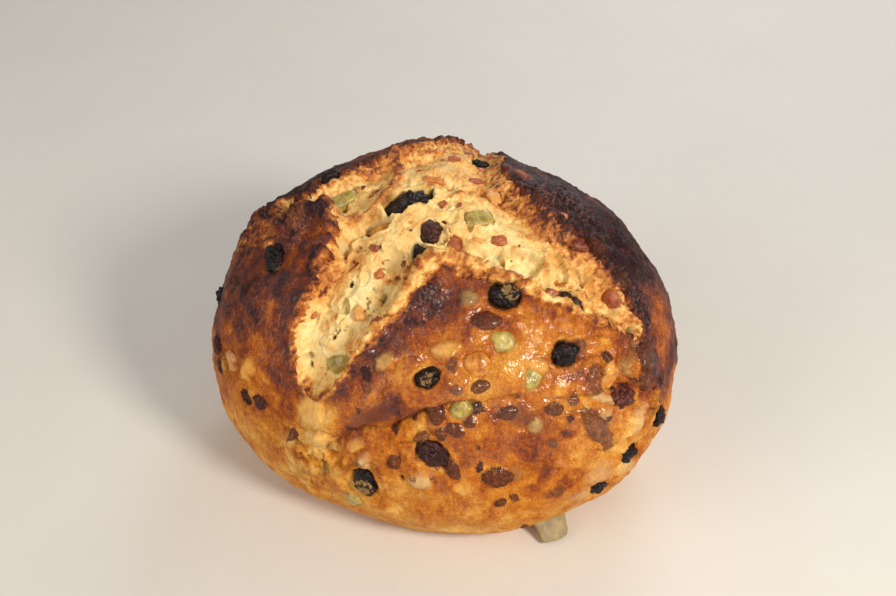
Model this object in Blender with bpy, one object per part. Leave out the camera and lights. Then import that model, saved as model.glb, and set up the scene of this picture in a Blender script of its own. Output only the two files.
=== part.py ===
"""Easter bread: a round fruit loaf whose crown has torn open along a cross cut.

Metres, +Z up, origin at the middle of the flat foot, front at -Y. The loaf is one solid. Each raisin
and each piece of candied peel that stands out of it is a solid of its own, in a pocket of the loaf.
"""
import math

import bmesh
import bpy
import numpy as np
from mathutils import Matrix, Vector, noise

NAME = "easter_bread"
MM = 0.001  # every length below is in millimetres, and becomes metres where a mesh is made
FIT_GAP = 0.3

# Body: a blunt dome on a flat foot, over a plan that is a slightly oval, uneven circle
BELLY_HEIGHT = 43.0
CROWN_RISE = 72.0
UNDER_DROP = 59.3
DOME_POWER = 2.35
PLAN_RADIUS = 80.7
PLAN_WAVES = ((2, 6.3, -5.6), (3, 0.0, -2.5), (4, 2.4, 0.0))  # waves round the plan, cosine, sine
CROWN_LEAN = (4.0, 9.0)  # how far the crown leans right and back
LUMP_SIZE = 24.0
LUMP_HEIGHT = 1.3
FOOT_FADE = 10.0  # relief grows from nothing at the foot to its full size over this height

# Crown map: (u, v) is a distance along the crust, right and back, from the middle of the crown
CROWN = Vector((-0.163, -0.099, 0.982)).normalized()
MAP_RADIUS = 85.0
CROWN_DENSITY = 0.38  # 0 spreads the vertices evenly, 1 gathers them all on the crown

# The tear has four arms between four quarters of crust, each with a raised lip along its edge
TEAR_EDGES = {
    "left": [(-76, 34), (-62, 15), (-52, 3), (-41, -1), (-33, -5), (-36, -17), (-45, -32), (-58, -47),
             (-65, -63)],
    "front": [(-59, -76), (-41, -75), (-22, -63), (-6, -51), (5, -38), (13, -36), (32, -43), (62, -51)],
    "right": [(93, -52), (88, -38), (77, -26), (62, -15), (51, 0), (40, 17), (41, 42), (38, 72)],
    "back": [(30, 84), (14, 62), (6, 48), (-8, 40), (-24, 29), (-39, 18), (-52, 20), (-66, 32)],
}
LIP_HEIGHT = {"left": 4.0, "front": 7.0, "right": 4.5, "back": 1.8}
LIP_WIDTH = 9.0
EDGE_STEPS = 5
CRUMB_DEPTH = 5.0
CRUMB_WALL = 4.5
CRUMB_PUFF = 4.5
CRUMB_PUFF_WIDTH = 22.0
SNAP = 1.9  # vertices this near the tear's edge move onto it

# A fold runs across the front quarter, and the crust above it bulges over the crust below
FOLD_LINE = [(-75, -96), (-48, -92), (-21, -96), (-4, -92), (20, -89), (36, -86)]
FOLD_BULGE = 5.5
FOLD_GROOVE = 3.0
FOLD_WIDTH = 8.0

# Fruit: (u, v, length, width, turn in degrees), all on the crown map. A turn of 90 points back.
RAISINS = {
    "raisin_left_shoulder": (-58, -12, 12.5, 8.5, 80),
    "raisin_front_lip": (35, -50, 13, 10.5, 15),
    "raisin_front_right": (60, -67, 11, 10, 30),
    "raisin_front_middle": (2, -80, 11, 8, 35),
    "raisin_front_low": (-52, -121, 12, 10, 65),
    "raisin_front_fold": (-1, -112, 14, 9.5, -35),
    "raisin_low_right": (116, -91, 10, 8, 40),
    "raisin_foot_right": (108, -114, 10, 7, 20),
    "raisin_crown_large": (-3, -1, 18, 9.5, 28),
    "raisin_crown_middle": (7, -17, 10.5, 8, 60),
    "raisin_crown_front": (3, -32, 10, 6, 95),
    "raisin_arm_right": (64, -46, 14, 8.5, -32),
    "raisin_right_curled": (91, -73, 12, 9.5, 10),
    "raisin_left_edge": (-97, 5, 10, 8, 70),
    "raisin_back_arm": (-35, 23, 10, 6.5, 60),
    "raisin_top": (29, 43, 9, 7, 0),
    "raisin_right_edge": (132, -62, 10, 8, 80),
    "raisin_behind_left": (-92, 60, 11, 9, 20),
    "raisin_behind_middle": (-12, 118, 12, 9, 110),
    "raisin_behind_right": (70, 84, 11, 9, 50),
}
CITRON = {
    "citron_crown": (27, -14, 9, 7, 10),
    "citron_left_arm": (-43, -65, 9, 6.5, 0),
    "citron_front_high": (34, -67, 8, 7.5, 20),
    "citron_front_right": (46, -79, 8, 7, 70),
    "citron_front_middle": (15, -93, 8, 7, 45),
    "citron_back_arm": (-31, 9, 12, 6.5, 25),
    "citron_foot": (-71, -127, 8, 6, 0),
    "citron_behind": (38, 124, 9, 7, 35),
}
ORANGE_PEEL = {
    "orange_peel_crown": (-14, -14, 8, 7, 30),
    "orange_peel_left": (-96, -33, 8, 7, 60),
    "orange_peel_front": (23, -76, 8.5, 8, 15),
    "orange_peel_right": (82, -69, 9, 6, 75),
    "orange_peel_behind": (-40, 140, 8, 7, 20),
}
ALMONDS = {
    "almond_crown": (16, -24, 6.5, 5.5, 75),
    "almond_right": (84, -37, 8.5, 5.5, -40),
}
RAISIN_THICKNESS = 0.85  # of its width
PEEL_THICKNESS = 6.0
PEEL_ROUNDING = 1.3
RAISIN_SINK = 2.3  # how far a piece's middle lies under the crust
PEEL_SINK = 2.2
RAISIN_WRINKLE = 0.07

# A thin scrap of dough hangs from the front of the foot and rests beside it
SCRAP_CENTRE = (43.0, -57.5, 5.6)
SCRAP_SIZE = (11.0, 11.5, 2.2)
SCRAP_TILT = 36.0
SCRAP_TURN = 24.0

COLOURS = {
    "crust": (0.36, 0.13, 0.035, 1.0),
    "raisin": (0.018, 0.011, 0.012, 1.0),
    "citron": (0.56, 0.55, 0.22, 1.0),
    "orange_peel": (0.78, 0.33, 0.05, 1.0),
    "almond": (0.52, 0.22, 0.07, 1.0),
    "scrap": (0.66, 0.57, 0.36, 1.0),
}


def smooth_step(x):
    x = np.clip(x, 0.0, 1.0)
    return x * x * (3.0 - 2.0 * x)


def map_axes():
    """The crown map's right and back axes."""
    back = Vector((0, 1, 0))
    back = (back - CROWN * CROWN.dot(back)).normalized()
    return np.array(back.cross(CROWN)), np.array(back)


CROWN_AXIS = np.array(CROWN)
RIGHT_AXIS, BACK_AXIS = map_axes()


def map_to_direction(uv):
    """Unit directions from the body's centre, for (n, 2) crown map places."""
    reach = np.hypot(uv[:, 0], uv[:, 1])
    angle = reach / MAP_RADIUS
    side = (uv[:, :1] * RIGHT_AXIS + uv[:, 1:] * BACK_AXIS) / np.maximum(reach, 1e-9)[:, None]
    return np.cos(angle)[:, None] * CROWN_AXIS + np.sin(angle)[:, None] * side


def direction_to_map(directions):
    angle = np.arccos(np.clip(directions @ CROWN_AXIS, -1, 1))
    right = directions @ RIGHT_AXIS
    back = directions @ BACK_AXIS
    reach = np.maximum(np.hypot(right, back), 1e-9)
    return np.stack([angle * MAP_RADIUS * right / reach, angle * MAP_RADIUS * back / reach], axis=1)


def body_points(directions):
    """Points of the smooth body, without its relief, in the given directions."""
    bearing = np.arctan2(directions[:, 1], directions[:, 0])
    plan = PLAN_RADIUS + sum(c * np.cos(k * bearing) + s * np.sin(k * bearing) for k, c, s in PLAN_WAVES)
    flat = np.hypot(directions[:, 0], directions[:, 1])
    rise = np.where(directions[:, 2] > 0, CROWN_RISE, UNDER_DROP)
    power = (flat / plan) ** DOME_POWER + (np.abs(directions[:, 2]) / rise) ** DOME_POWER
    points = directions * (power ** (-1 / DOME_POWER))[:, None]
    points[:, 2] += BELLY_HEIGHT
    under = points[:, 2] < 0
    shrink = np.where(under, BELLY_HEIGHT / np.maximum(BELLY_HEIGHT - points[:, 2], 1e-9), 1.0)
    points[:, :2] *= shrink[:, None]
    points[under, 2] = 0.0
    lean = np.clip(points[:, 2] / (BELLY_HEIGHT + CROWN_RISE), 0, 1) ** 1.5
    return points + lean[:, None] * np.array((*CROWN_LEAN, 0.0))


def body_normals(directions, step=0.002):
    """Outward normals of the smooth body, from points a small step to either side."""
    helper = np.where(np.abs(directions[:, 2:]) < 0.9, [[0.0, 0.0, 1.0]], [[1.0, 0.0, 0.0]])
    first = np.cross(helper, directions)
    first /= np.linalg.norm(first, axis=1)[:, None]
    second = np.cross(directions, first)
    across = [body_points((d := directions + step * way) / np.linalg.norm(d, axis=1)[:, None])
              for way in (first, -first, second, -second)]
    normals = np.cross(across[0] - across[1], across[2] - across[3])
    return normals / np.linalg.norm(normals, axis=1)[:, None]


def smooth_curve(points, closed, steps):
    """A Catmull-Rom curve through the given points, with so many steps for each span."""
    points = np.array(points, float)
    count = len(points)
    curve = []
    for i in range(count if closed else count - 1):
        near = [points[(i + k) % count] if closed else points[min(max(i + k, 0), count - 1)] for k in (-1, 0, 1, 2)]
        a, b, c, d = near
        for t in np.arange(steps) / steps:
            curve.append(0.5 * (2 * b + (c - a) * t + (2 * a - 5 * b + 4 * c - d) * t**2
                                + (3 * b - a - 3 * c + d) * t**3))
    if not closed:
        curve.append(points[-1])
    return np.array(curve)


def nearest_on_curve(places, curve, closed):
    """For each place: its nearest point of the curve, how far along that is (0 to 1), and which side."""
    starts = curve if closed else curve[:-1]
    ends = np.roll(curve, -1, axis=0) if closed else curve[1:]
    along = ends - starts
    offset = places[:, None, :] - starts[None]
    share = np.clip((offset * along).sum(2) / (along**2).sum(1), 0, 1)
    gap = offset - share[..., None] * along
    pick = np.argmin((gap**2).sum(2), axis=1)
    rows = np.arange(len(places))
    side = np.sign(along[pick, 0] * gap[rows, pick, 1] - along[pick, 1] * gap[rows, pick, 0])
    return places - gap[rows, pick], (pick + share[rows, pick]) / len(starts), side


def inside_polygon(places, polygon):
    x, y = places[:, :1], places[:, 1:]
    x0, y0 = polygon[:, 0], polygon[:, 1]
    x1, y1 = np.roll(x0, -1), np.roll(y0, -1)
    crosses = ((y0 > y) != (y1 > y)) & (x < (x1 - x0) * (y - y0) / (y1 - y0 + 1e-12) + x0)
    return crosses.sum(axis=1) % 2 == 1


TEAR = smooth_curve([p for edge in TEAR_EDGES.values() for p in edge], True, EDGE_STEPS)
TEAR_LIPS = np.array([LIP_HEIGHT[side] * math.sin(math.pi * (i + 0.5) / len(edge)) ** 0.5
                      for side, edge in TEAR_EDGES.items() for i in range(len(edge))])
FOLD = smooth_curve(FOLD_LINE, False, EDGE_STEPS)


def tear_distance(places):
    """Signed distance to the tear's edge, negative in the crumb, with the nearest place and its lip."""
    nearest, along, _ = nearest_on_curve(places, TEAR, True)
    distance = np.linalg.norm(places - nearest, axis=1)
    distance[inside_polygon(places, TEAR)] *= -1
    lip = np.interp(along * len(TEAR_LIPS), np.arange(len(TEAR_LIPS)), TEAR_LIPS, period=len(TEAR_LIPS))
    return distance, nearest, lip


def relief(places, points):
    """Height of the real surface over the smooth body."""
    distance, _, lip = tear_distance(places)
    crust = lip * np.exp(-np.maximum(distance, 0) / LIP_WIDTH)
    floor = lip - (lip + CRUMB_DEPTH) * smooth_step(-distance / CRUMB_WALL)
    floor += CRUMB_PUFF * smooth_step((-distance - CRUMB_WALL) / CRUMB_PUFF_WIDTH)
    height = np.where(distance > 0, crust, floor)

    nearest, along, side = nearest_on_curve(places, FOLD, False)
    reach = np.linalg.norm(places - nearest, axis=1)
    strength = np.sin(math.pi * np.clip(along, 0.04, 0.96))
    bulge = FOLD_BULGE * np.exp(-((reach - FOLD_WIDTH) / FOLD_WIDTH) ** 2)
    groove = -FOLD_GROOVE * np.exp(-((reach / FOLD_WIDTH) ** 2))
    height += strength * np.where(side > 0, bulge, groove)

    lumps = [noise.noise(Vector(p) / LUMP_SIZE) for p in points]
    height += LUMP_HEIGHT * np.array(lumps)
    return height * smooth_step(points[:, 2] / FOOT_FADE)


def surface(places):
    """Points and normals of the loaf's skin at crown map places."""
    directions = map_to_direction(places)
    points = body_points(directions)
    normals = body_normals(directions)
    return points + relief(places, points)[:, None] * normals, normals


def material(name, colour, roughness):
    made = bpy.data.materials.new(name)
    made.use_nodes = True
    shader = made.node_tree.nodes["Principled BSDF"]
    shader.inputs["Base Color"].default_value = colour
    shader.inputs["Roughness"].default_value = roughness
    shader.inputs["Metallic"].default_value = 0.0
    return made


def add_object(name, shape, collection, finish=None):
    """Makes an object from a bmesh in millimetres, and frees the bmesh."""
    bmesh.ops.scale(shape, vec=Vector((MM, MM, MM)), verts=shape.verts)
    mesh = bpy.data.meshes.new(name)
    shape.to_mesh(mesh)
    shape.free()
    mesh.shade_smooth()
    made = bpy.data.objects.new(name, mesh)
    collection.objects.link(made)
    if finish:
        mesh.materials.append(finish)
    return made


def make_loaf(collection, finish):
    shape = bmesh.new()
    bmesh.ops.create_icosphere(shape, subdivisions=5, radius=1.0)
    directions = np.array([v.co.normalized() for v in shape.verts])
    places = direction_to_map(directions)
    angle = np.hypot(places[:, 0], places[:, 1]) / MAP_RADIUS
    gathered = angle - CROWN_DENSITY * np.sin(angle)
    places *= (gathered / np.maximum(angle, 1e-9))[:, None]

    distance, nearest, _ = tear_distance(places)
    near = np.abs(distance) < SNAP
    places[near] = nearest[near]
    points, _ = surface(places)
    for vertex, point in zip(shape.verts, points):
        vertex.co = point

    foot = [v for v in shape.verts if v.co.z < 0.01]
    for vertex in foot:
        vertex.co.z = 0.0
    foot_set = set(foot)
    foot_edges = [e for e in shape.edges if foot_set.issuperset(e.verts)]
    bmesh.ops.dissolve_limit(shape, angle_limit=math.radians(0.5), verts=foot, edges=foot_edges)
    return add_object("loaf", shape, collection, finish)


def raisin_shape(seed, length, width, grow):
    """A plump raisin with a few soft wrinkles, lying along X; grow makes it larger all round."""
    shape = bmesh.new()
    bmesh.ops.create_uvsphere(shape, u_segments=7, v_segments=5, radius=1.0)
    radii = Vector((length / 2, width / 2, width * RAISIN_THICKNESS / 2))
    for vertex in shape.verts:
        out = vertex.co.normalized()
        swell = 1.0 + RAISIN_WRINKLE * noise.noise(out * 2.2 + Vector((seed * 7.3, 0, 0)))
        vertex.co = Vector(a * b for a, b in zip(out, radii)) * swell + out * grow
    return shape


def peel_shape(seed, length, width, grow):
    """A cube of candied peel with rounded edges and uneven sides."""
    shape = bmesh.new()
    bmesh.ops.create_cube(shape, size=1.0)
    size = Vector((length, width, PEEL_THICKNESS))
    for vertex in shape.verts:
        vertex.co = Vector(a * b for a, b in zip(vertex.co, size))
        vertex.co *= 1.0 + 0.12 * noise.noise(vertex.co + Vector((seed * 3.7, 0, 0)))
    bmesh.ops.bevel(shape, geom=shape.edges[:], offset=PEEL_ROUNDING, segments=1, affect="EDGES")
    for vertex in shape.verts:
        vertex.co += vertex.co.normalized() * grow
    return shape


def scrap_shape(grow):
    """A thin curled flake: a bevelled slab that bends down at its free end."""
    shape = bmesh.new()
    bmesh.ops.create_cube(shape, size=1.0)
    for vertex in shape.verts:
        vertex.co = Vector(a * b for a, b in zip(vertex.co, SCRAP_SIZE))
    bmesh.ops.bevel(shape, geom=shape.edges[:], offset=0.7, segments=1, affect="EDGES")
    for vertex in shape.verts:
        vertex.co += vertex.co.normalized() * grow
        vertex.co.x *= 1.0 + 0.02 * vertex.co.y
    return shape


def seat(place, turn, sink):
    """The matrix that lays a piece into the skin: its X along the turn, its Z out of the crust."""
    points, normals = surface(np.array([place], float))
    out = Vector(normals[0])
    right = Vector(surface(np.array([place], float) + (1.0, 0.0))[0][0] - points[0])
    right = (right - out * right.dot(out)).normalized()
    back = out.cross(right)
    axes = Matrix((right, back, out)).transposed().to_4x4()
    return Matrix.Translation(Vector(points[0]) - out * sink) @ axes @ Matrix.Rotation(math.radians(turn), 4, "Z")


def add_fruit(table, build, sink, parts, cutters, finish):
    """Adds each piece of the table, and the cutter of its pocket, which is larger by the gap."""
    for seed, (name, (u, v, length, width, turn)) in enumerate(table.items()):
        place = seat((u, v), turn, sink)
        for collection, grow in ((parts, 0.0), (cutters, FIT_GAP)):
            shape = build(seed, length, width, grow)
            bmesh.ops.transform(shape, matrix=place, verts=shape.verts)
            label = name if grow == 0 else "cut_" + name
            add_object(label, shape, collection, finish if grow == 0 else None)


def add_scrap(parts, cutters, finish):
    lie = (Matrix.Translation(SCRAP_CENTRE) @ Matrix.Rotation(math.radians(SCRAP_TURN), 4, "Z")
           @ Matrix.Rotation(math.radians(SCRAP_TILT), 4, "X"))
    for collection, grow in ((parts, 0.0), (cutters, FIT_GAP)):
        shape = scrap_shape(grow)
        bmesh.ops.transform(shape, matrix=lie, verts=shape.verts)
        label = "dough_scrap" if grow == 0 else "cut_dough_scrap"
        add_object(label, shape, collection, finish if grow == 0 else None)


def main():
    for old in list(bpy.data.objects):
        bpy.data.objects.remove(old, do_unlink=True)
    parts = bpy.data.collections.new(NAME)
    cutters = bpy.data.collections.new(NAME + "_cutters")
    for collection in (parts, cutters):
        bpy.context.scene.collection.children.link(collection)

    loaf = make_loaf(parts, material("crust", COLOURS["crust"], 0.42))
    peel = (("citron", CITRON), ("orange_peel", ORANGE_PEEL), ("almond", ALMONDS))
    add_fruit(RAISINS, raisin_shape, RAISIN_SINK, parts, cutters, material("raisin", COLOURS["raisin"], 0.4))
    for kind, table in peel:
        add_fruit(table, peel_shape, PEEL_SINK, parts, cutters, material(kind, COLOURS[kind], 0.25))
    add_scrap(parts, cutters, material("scrap", COLOURS["scrap"], 0.6))

    for cutter in cutters.objects:
        cutter.hide_render = True
        cutter.display_type = "WIRE"
    pockets = loaf.modifiers.new("pockets", "BOOLEAN")
    pockets.operand_type = "COLLECTION"
    pockets.collection = cutters
    pockets.solver = "EXACT"


main()
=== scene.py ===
"""Looks of the Easter bread: the baked skin with its torn crown, and every raisin and piece of peel.

Lengths are in millimetres and become metres where a mesh is made. The crown map (u, v) is a distance
along the crust, right and back, from the middle of the crown, as in the part's own model.
"""
import itertools
import math

import bmesh
import bpy
import numpy as np
from mathutils import Matrix, Vector


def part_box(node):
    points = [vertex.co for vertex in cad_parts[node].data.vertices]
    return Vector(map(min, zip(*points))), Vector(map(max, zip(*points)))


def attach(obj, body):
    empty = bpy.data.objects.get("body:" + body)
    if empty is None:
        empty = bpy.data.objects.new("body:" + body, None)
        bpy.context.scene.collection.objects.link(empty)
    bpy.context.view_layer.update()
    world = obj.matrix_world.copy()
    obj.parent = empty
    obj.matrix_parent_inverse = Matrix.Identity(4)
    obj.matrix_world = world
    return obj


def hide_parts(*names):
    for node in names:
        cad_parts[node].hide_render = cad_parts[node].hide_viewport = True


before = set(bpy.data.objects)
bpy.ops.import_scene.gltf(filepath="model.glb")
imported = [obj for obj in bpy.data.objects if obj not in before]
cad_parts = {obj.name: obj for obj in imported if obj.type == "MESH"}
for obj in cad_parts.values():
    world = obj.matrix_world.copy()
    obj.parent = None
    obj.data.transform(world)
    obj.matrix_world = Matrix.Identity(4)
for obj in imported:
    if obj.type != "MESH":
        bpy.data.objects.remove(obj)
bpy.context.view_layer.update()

MM = 0.001
SEED = 26
rng = np.random.default_rng(SEED)

# ---------------------------------------------------------------- body, as in the part's model
BELLY_HEIGHT = 43.0
CROWN_RISE = 72.0
UNDER_DROP = 59.3
DOME_POWER = 2.35
PLAN_RADIUS = 80.7
PLAN_WAVES = ((2, 6.3, -5.6), (3, 0.0, -2.5), (4, 2.4, 0.0))
CROWN_LEAN = (4.0, 9.0)
FOOT_FADE = 10.0
CROWN = np.array((-0.163, -0.099, 0.982))
CROWN /= np.linalg.norm(CROWN)
MAP_RADIUS = 85.0

TEAR_EDGES = {
    "left": [(-76, 34), (-62, 15), (-52, 3), (-41, -1), (-33, -5), (-36, -17), (-45, -32), (-58, -47),
             (-64, -61)],
    "front": [(-58, -73), (-41, -75), (-22, -63), (-6, -51), (5, -38), (13, -36), (32, -43), (62, -51)],
    "right": [(93, -52), (88, -38), (77, -26), (62, -15), (51, 0), (40, 17), (41, 42), (38, 72)],
    "back": [(30, 84), (14, 62), (6, 48), (-8, 40), (-24, 29), (-39, 18), (-52, 20), (-66, 32)],
}
# Each quarter's edge, as values at even steps from its first point to its last: lip height, overhang,
# raggedness, how wide the slope down to the crumb is, how wide and how strong the crumb is toasted beside
# it, how charred the crust's edge is, and how far torn dough shows over the lip before the crust begins
LIP_LOOKS = {
    "left": {"lip": (4.6, 4.0, 3.4), "hang": (1.6, 1.2), "rag": (3.0, 2.4, 1.4), "slope": (8.0, 6.0, 4.5),
             "toast_width": (8.0, 4.5, 1.6, 1.2), "toast": (0.70, 0.58, 0.50), "char": (0.30, 0.14),
             "bare": (1.4, 0.5, 0.0)},
    "front": {"lip": (4.0, 5.0, 5.6, 5.2, 5.6), "hang": (0.8, 1.4, 1.6, 1.6), "rag": (1.0, 1.2, 2.0, 1.8),
              "slope": (6.0, 6.0, 5.0, 5.0), "toast_width": (2.0, 4.5, 4.0, 2.6, 3.0),
              "toast": (0.36, 0.32, 0.36, 0.42), "char": (0.02, 0.06, 0.10, 0.14),
              "bare": (0.4, 1.8, 3.4, 5.6, 6.4, 5.0)},
    "right": {"lip": (3.0, 3.2), "hang": (0.8, 0.8), "rag": (1.6, 2.8), "slope": (9.0, 11.0),
              "toast_width": (3.0, 5.0, 8.0), "toast": (0.60, 0.66, 0.72), "char": (0.28, 0.42),
              "bare": (-0.8, -1.6)},
    "back": {"lip": (2.2, 2.6, 2.8), "hang": (0.6, 0.6), "rag": (3.2, 3.8), "slope": (10.0, 9.0),
             "toast_width": (8.0, 5.0, 3.5), "toast": (0.64, 0.76), "char": (0.34, 0.44),
             "bare": (0.6, 1.2, 0.6, -0.4, -0.8)},
}
# The arms of the tear: the line along the middle of each
ARMS = {
    "left": ((-62, -74), (-5, -15)),
    "right": ((90, -47), (15, -12)),
    "back": ((36, 80), (5, 12)),
    "side": ((-72, 33), (-8, 8)),
}
ARM_BLEND = 14.0
LIP_WIDTH = 9.0
EDGE_STEPS = 8
CRUMB_DEPTH = 5.0
CRUMB_PUFF = 4.5
CRUMB_PUFF_WIDTH = 22.0
EDGE_REACH = 9.0

FOLD_LINE = [(-75, -96), (-48, -92), (-21, -96), (-4, -92), (20, -89), (36, -86)]
FOLD_BULGE = 5.5
FOLD_GROOVE = 3.0
FOLD_WIDTH = 8.0

# ---------------------------------------------------------------- skin details on the crown map
# Hollows: u, v, half length, half width, turn, depth, darkness of the painted shade inside
HOLLOWS = [
    (-3, -1, 13, 6.4, 28, 5.5, 1), (-16, -11, 6.4, 5.6, 0, 4.4, 0.42), (43, -33, 9.5, 5.5, -8, 4.2, 0.03),
    (35, -30, 2.4, 3, 0, 3, 0.6), (1, -28, 3.4, 6.5, -8, 2, 1), (58, -32, 4.6, 7.4, 15, 3.4, 0.1),
    (-10, -31, 6, 5.5, 0, 3.4, 0.12), (-2, -37, 1.2, 4, 0, 2, 0.6), (-33, -44, 2.6, 3.6, 0, 2.4, 0.35),
    (-29, -36, 1.1, 1.5, -30, 1.8, 1), (-40, -55, 1.2, 1, 0, 1.8, 1), (-58, -60, 1, 1.2, 0, 1.8, 1),
    (-16, -46, 3.2, 0.9, 60, 1.5, 0.6), (-30, -18, 2.6, 3, 20, 1.8, 0.3), (69, -32, 5, 1.2, -35, 2.4, 0.9),
    (27, -9, 4.2, 1.8, 15, 2.6, 0.9), (-28, 14, 4.5, 1, 30, 2.2, 0.8), (-40, 10, 4, 0.8, 30, 1.8, 0.7),
    (-57, -56, 1.4, 2.6, 70, 1, 0.4), (7, -20, 5, 6, 60, 2, 0.4), (23, -19, 2.4, 1.4, 70, 1.4, 0.4),
    (84, -30, 2, 5, 30, 1.5, 0.3), (-23, -122, 1.5, 1.3, 0, 1.6, 1), (5, 6, 6.5, 1.1, 18, 2, 0.9),
    (12, 10, 4, 0.9, -25, 1.6, 0.8), (76, -38, 9, 6, -35, 2.8, 0.05), (93, -52, 1.6, 0.9, 60, 1.4, 0.8),
    (90, -48, 0.9, 2.2, 10, 1.2, 0.7), (-5, -46, 3.2, 0.7, 50, 1.2, 0.75), (-9, -50, 2.6, 0.6, 45, 1, 0.7),
    (26, -13, 6.6, 5.6, 10, 1.6, 0.3),
]
# Small chips of almond and peel: u, v, length, width, turn, tone from pale almond to dark fruit
BITS = [
    (26, -25, 3.6, 1.8, -25, 0.15), (35, -24, 5.2, 3.6, -5, 0.62), (47, -20, 2.2, 1.6, 30, 0.40),
    (24, 5, 6.4, 2.0, 10, 0.70), (8, 12, 7.6, 2.6, -22, 0.42), (26, 21, 7.0, 2.6, 10, 0.70),
    (30, 34, 4.0, 2.4, 0, 0.55), (12, -3, 3.6, 2.2, 60, 0.70), (19, -6, 2.6, 1.8, 80, 0.72),
    (-2, -15, 1.6, 1.0, -40, 0.40), (-17, -25, 3.4, 2.4, -30, 0.78), (-6, -31, 2.6, 2.2, 50, 0.85),
    (-16, -36, 3.6, 3.0, 20, 0.50), (-35, -30, 4.2, 3.2, 20, 0.30), (-30, -22, 1.8, 1.3, 0, 0.95),
    (-32, -12, 2.2, 3.4, 0, 0.80), (-18, -56, 4.0, 3.2, 30, 0.72), (-27, -49, 3.4, 6.0, 15, 0.12),
    (39, -42, 6.6, 3.0, -22, 0.60), (54, -46, 4.6, 3.0, -25, 0.70), (74, -42, 1.6, 1.2, 0, 0.40),
    (38, -59, 1.8, 1.2, 0, 0.95), (34, 3, 4.6, 6.4, 20, 0.20), (41, -3, 4.4, 2.6, -30, 0.30),
    (67, -22, 7.5, 5.0, 5, 0.86), (1, 44, 4.0, 2.4, 0, 0.60), (17, 31, 4.4, 2.6, 0, 0.66),
    (24, 48, 4.0, 2.6, 0, 0.80), (10, 43, 3.6, 2.4, 20, 0.35), (-48, -42, 3.0, 2.0, 40, 0.55),
    (-22, 12, 1.8, 1.4, 0, 0.90), (-12, -62, 2.2, 1.6, 60, 0.85), (5, -45, 2.0, 1.6, 0, 0.66),
    (88, -47, 3.0, 1.6, 70, 0.45), (96, -50, 2.4, 1.4, 50, 0.55), (60, -10, 3.0, 2.0, -40, 0.50),
]
SCATTERED_BITS = 18
BIT_RISE = 0.10
# Where the egg wash shines: u, v, half length, half width, turn, strength
GLOSS_PATCHES = [
    (30, -78, 44, 28, -10, 1), (20, -106, 36, 14, 5, 0.7), (-28, -76, 26, 14, 20, 0.6),
    (-62, -88, 18, 12, -30, 0.6), (70, -82, 22, 24, 0, 0.8), (-52, -34, 8, 22, 25, 0.7),
    (96, -58, 14, 10, 0, 0.6), (8, -58, 16, 8, 0, 0.3),
]
# Where the surface is crumpled like torn dough: u, v, half length, half width, turn, strength
CRUMPLED = [
    (96, -70, 26, 20, -20, 2.4), (86, -104, 30, 14, 10, 0.9), (-94, -95, 26, 14, 40, 1.3),
    (-62, -101, 18, 11, 0, 1.3), (-18, -106, 26, 9, 0, 1), (-95, -45, 22, 12, 80, 0.9),
    (-54, 14, 24, 13, 30, 1.4), (10, 70, 50, 16, 5, 0.9), (66, 6, 30, 10, -60, 0.8),
    (-40, -10, 13, 8, -60, 1.6), (62, -8, 32, 7, -50, 1.5), (12, -40, 26, 6, -12, 1.3),
    (48, -50, 18, 5, -15, 1.1), (-25, -62, 26, 5, 38, 1.1),
]
# How much more (or less) toasted a patch of torn dough is: u, v, half length, half width, turn, change
CRUMB_PATCHES = [
    (-38, -32, 12, 9, 40, 0.30), (-22, -26, 10, 6, 30, 0.10), (-50, -50, 12, 9, 40, -0.20),
    (-28, -44, 14, 8, 40, -0.18), (78, -30, 16, 12, -30, 0.26), (24, -46, 30, 5, -12, 0.14),
    (60, -30, 10, 12, 0, 0.08), (45, -34, 13, 8, 0, -0.22), (22, 0, 12, 8, 10, 0.06),
    (12, 18, 16, 9, 0, 0.10), (-30, 14, 14, 6, 30, -0.20), (-6, 50, 30, 6, 30, 0.30),
    (-34, 36, 20, 7, -25, 0.36), (-52, 28, 22, 5, -30, 0.30), (30, 30, 18, 10, 70, 0.16),
    (56, -10, 14, 9, -40, 0.34), (38, 2, 12, 8, -30, 0.26),
]
# Sizes and shares of the crinkles of torn dough
CRUMPLE_SIZES = ((8.0, 0.9), (4.6, 0.8), (2.4, 0.5), (1.2, 0.28))
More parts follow.
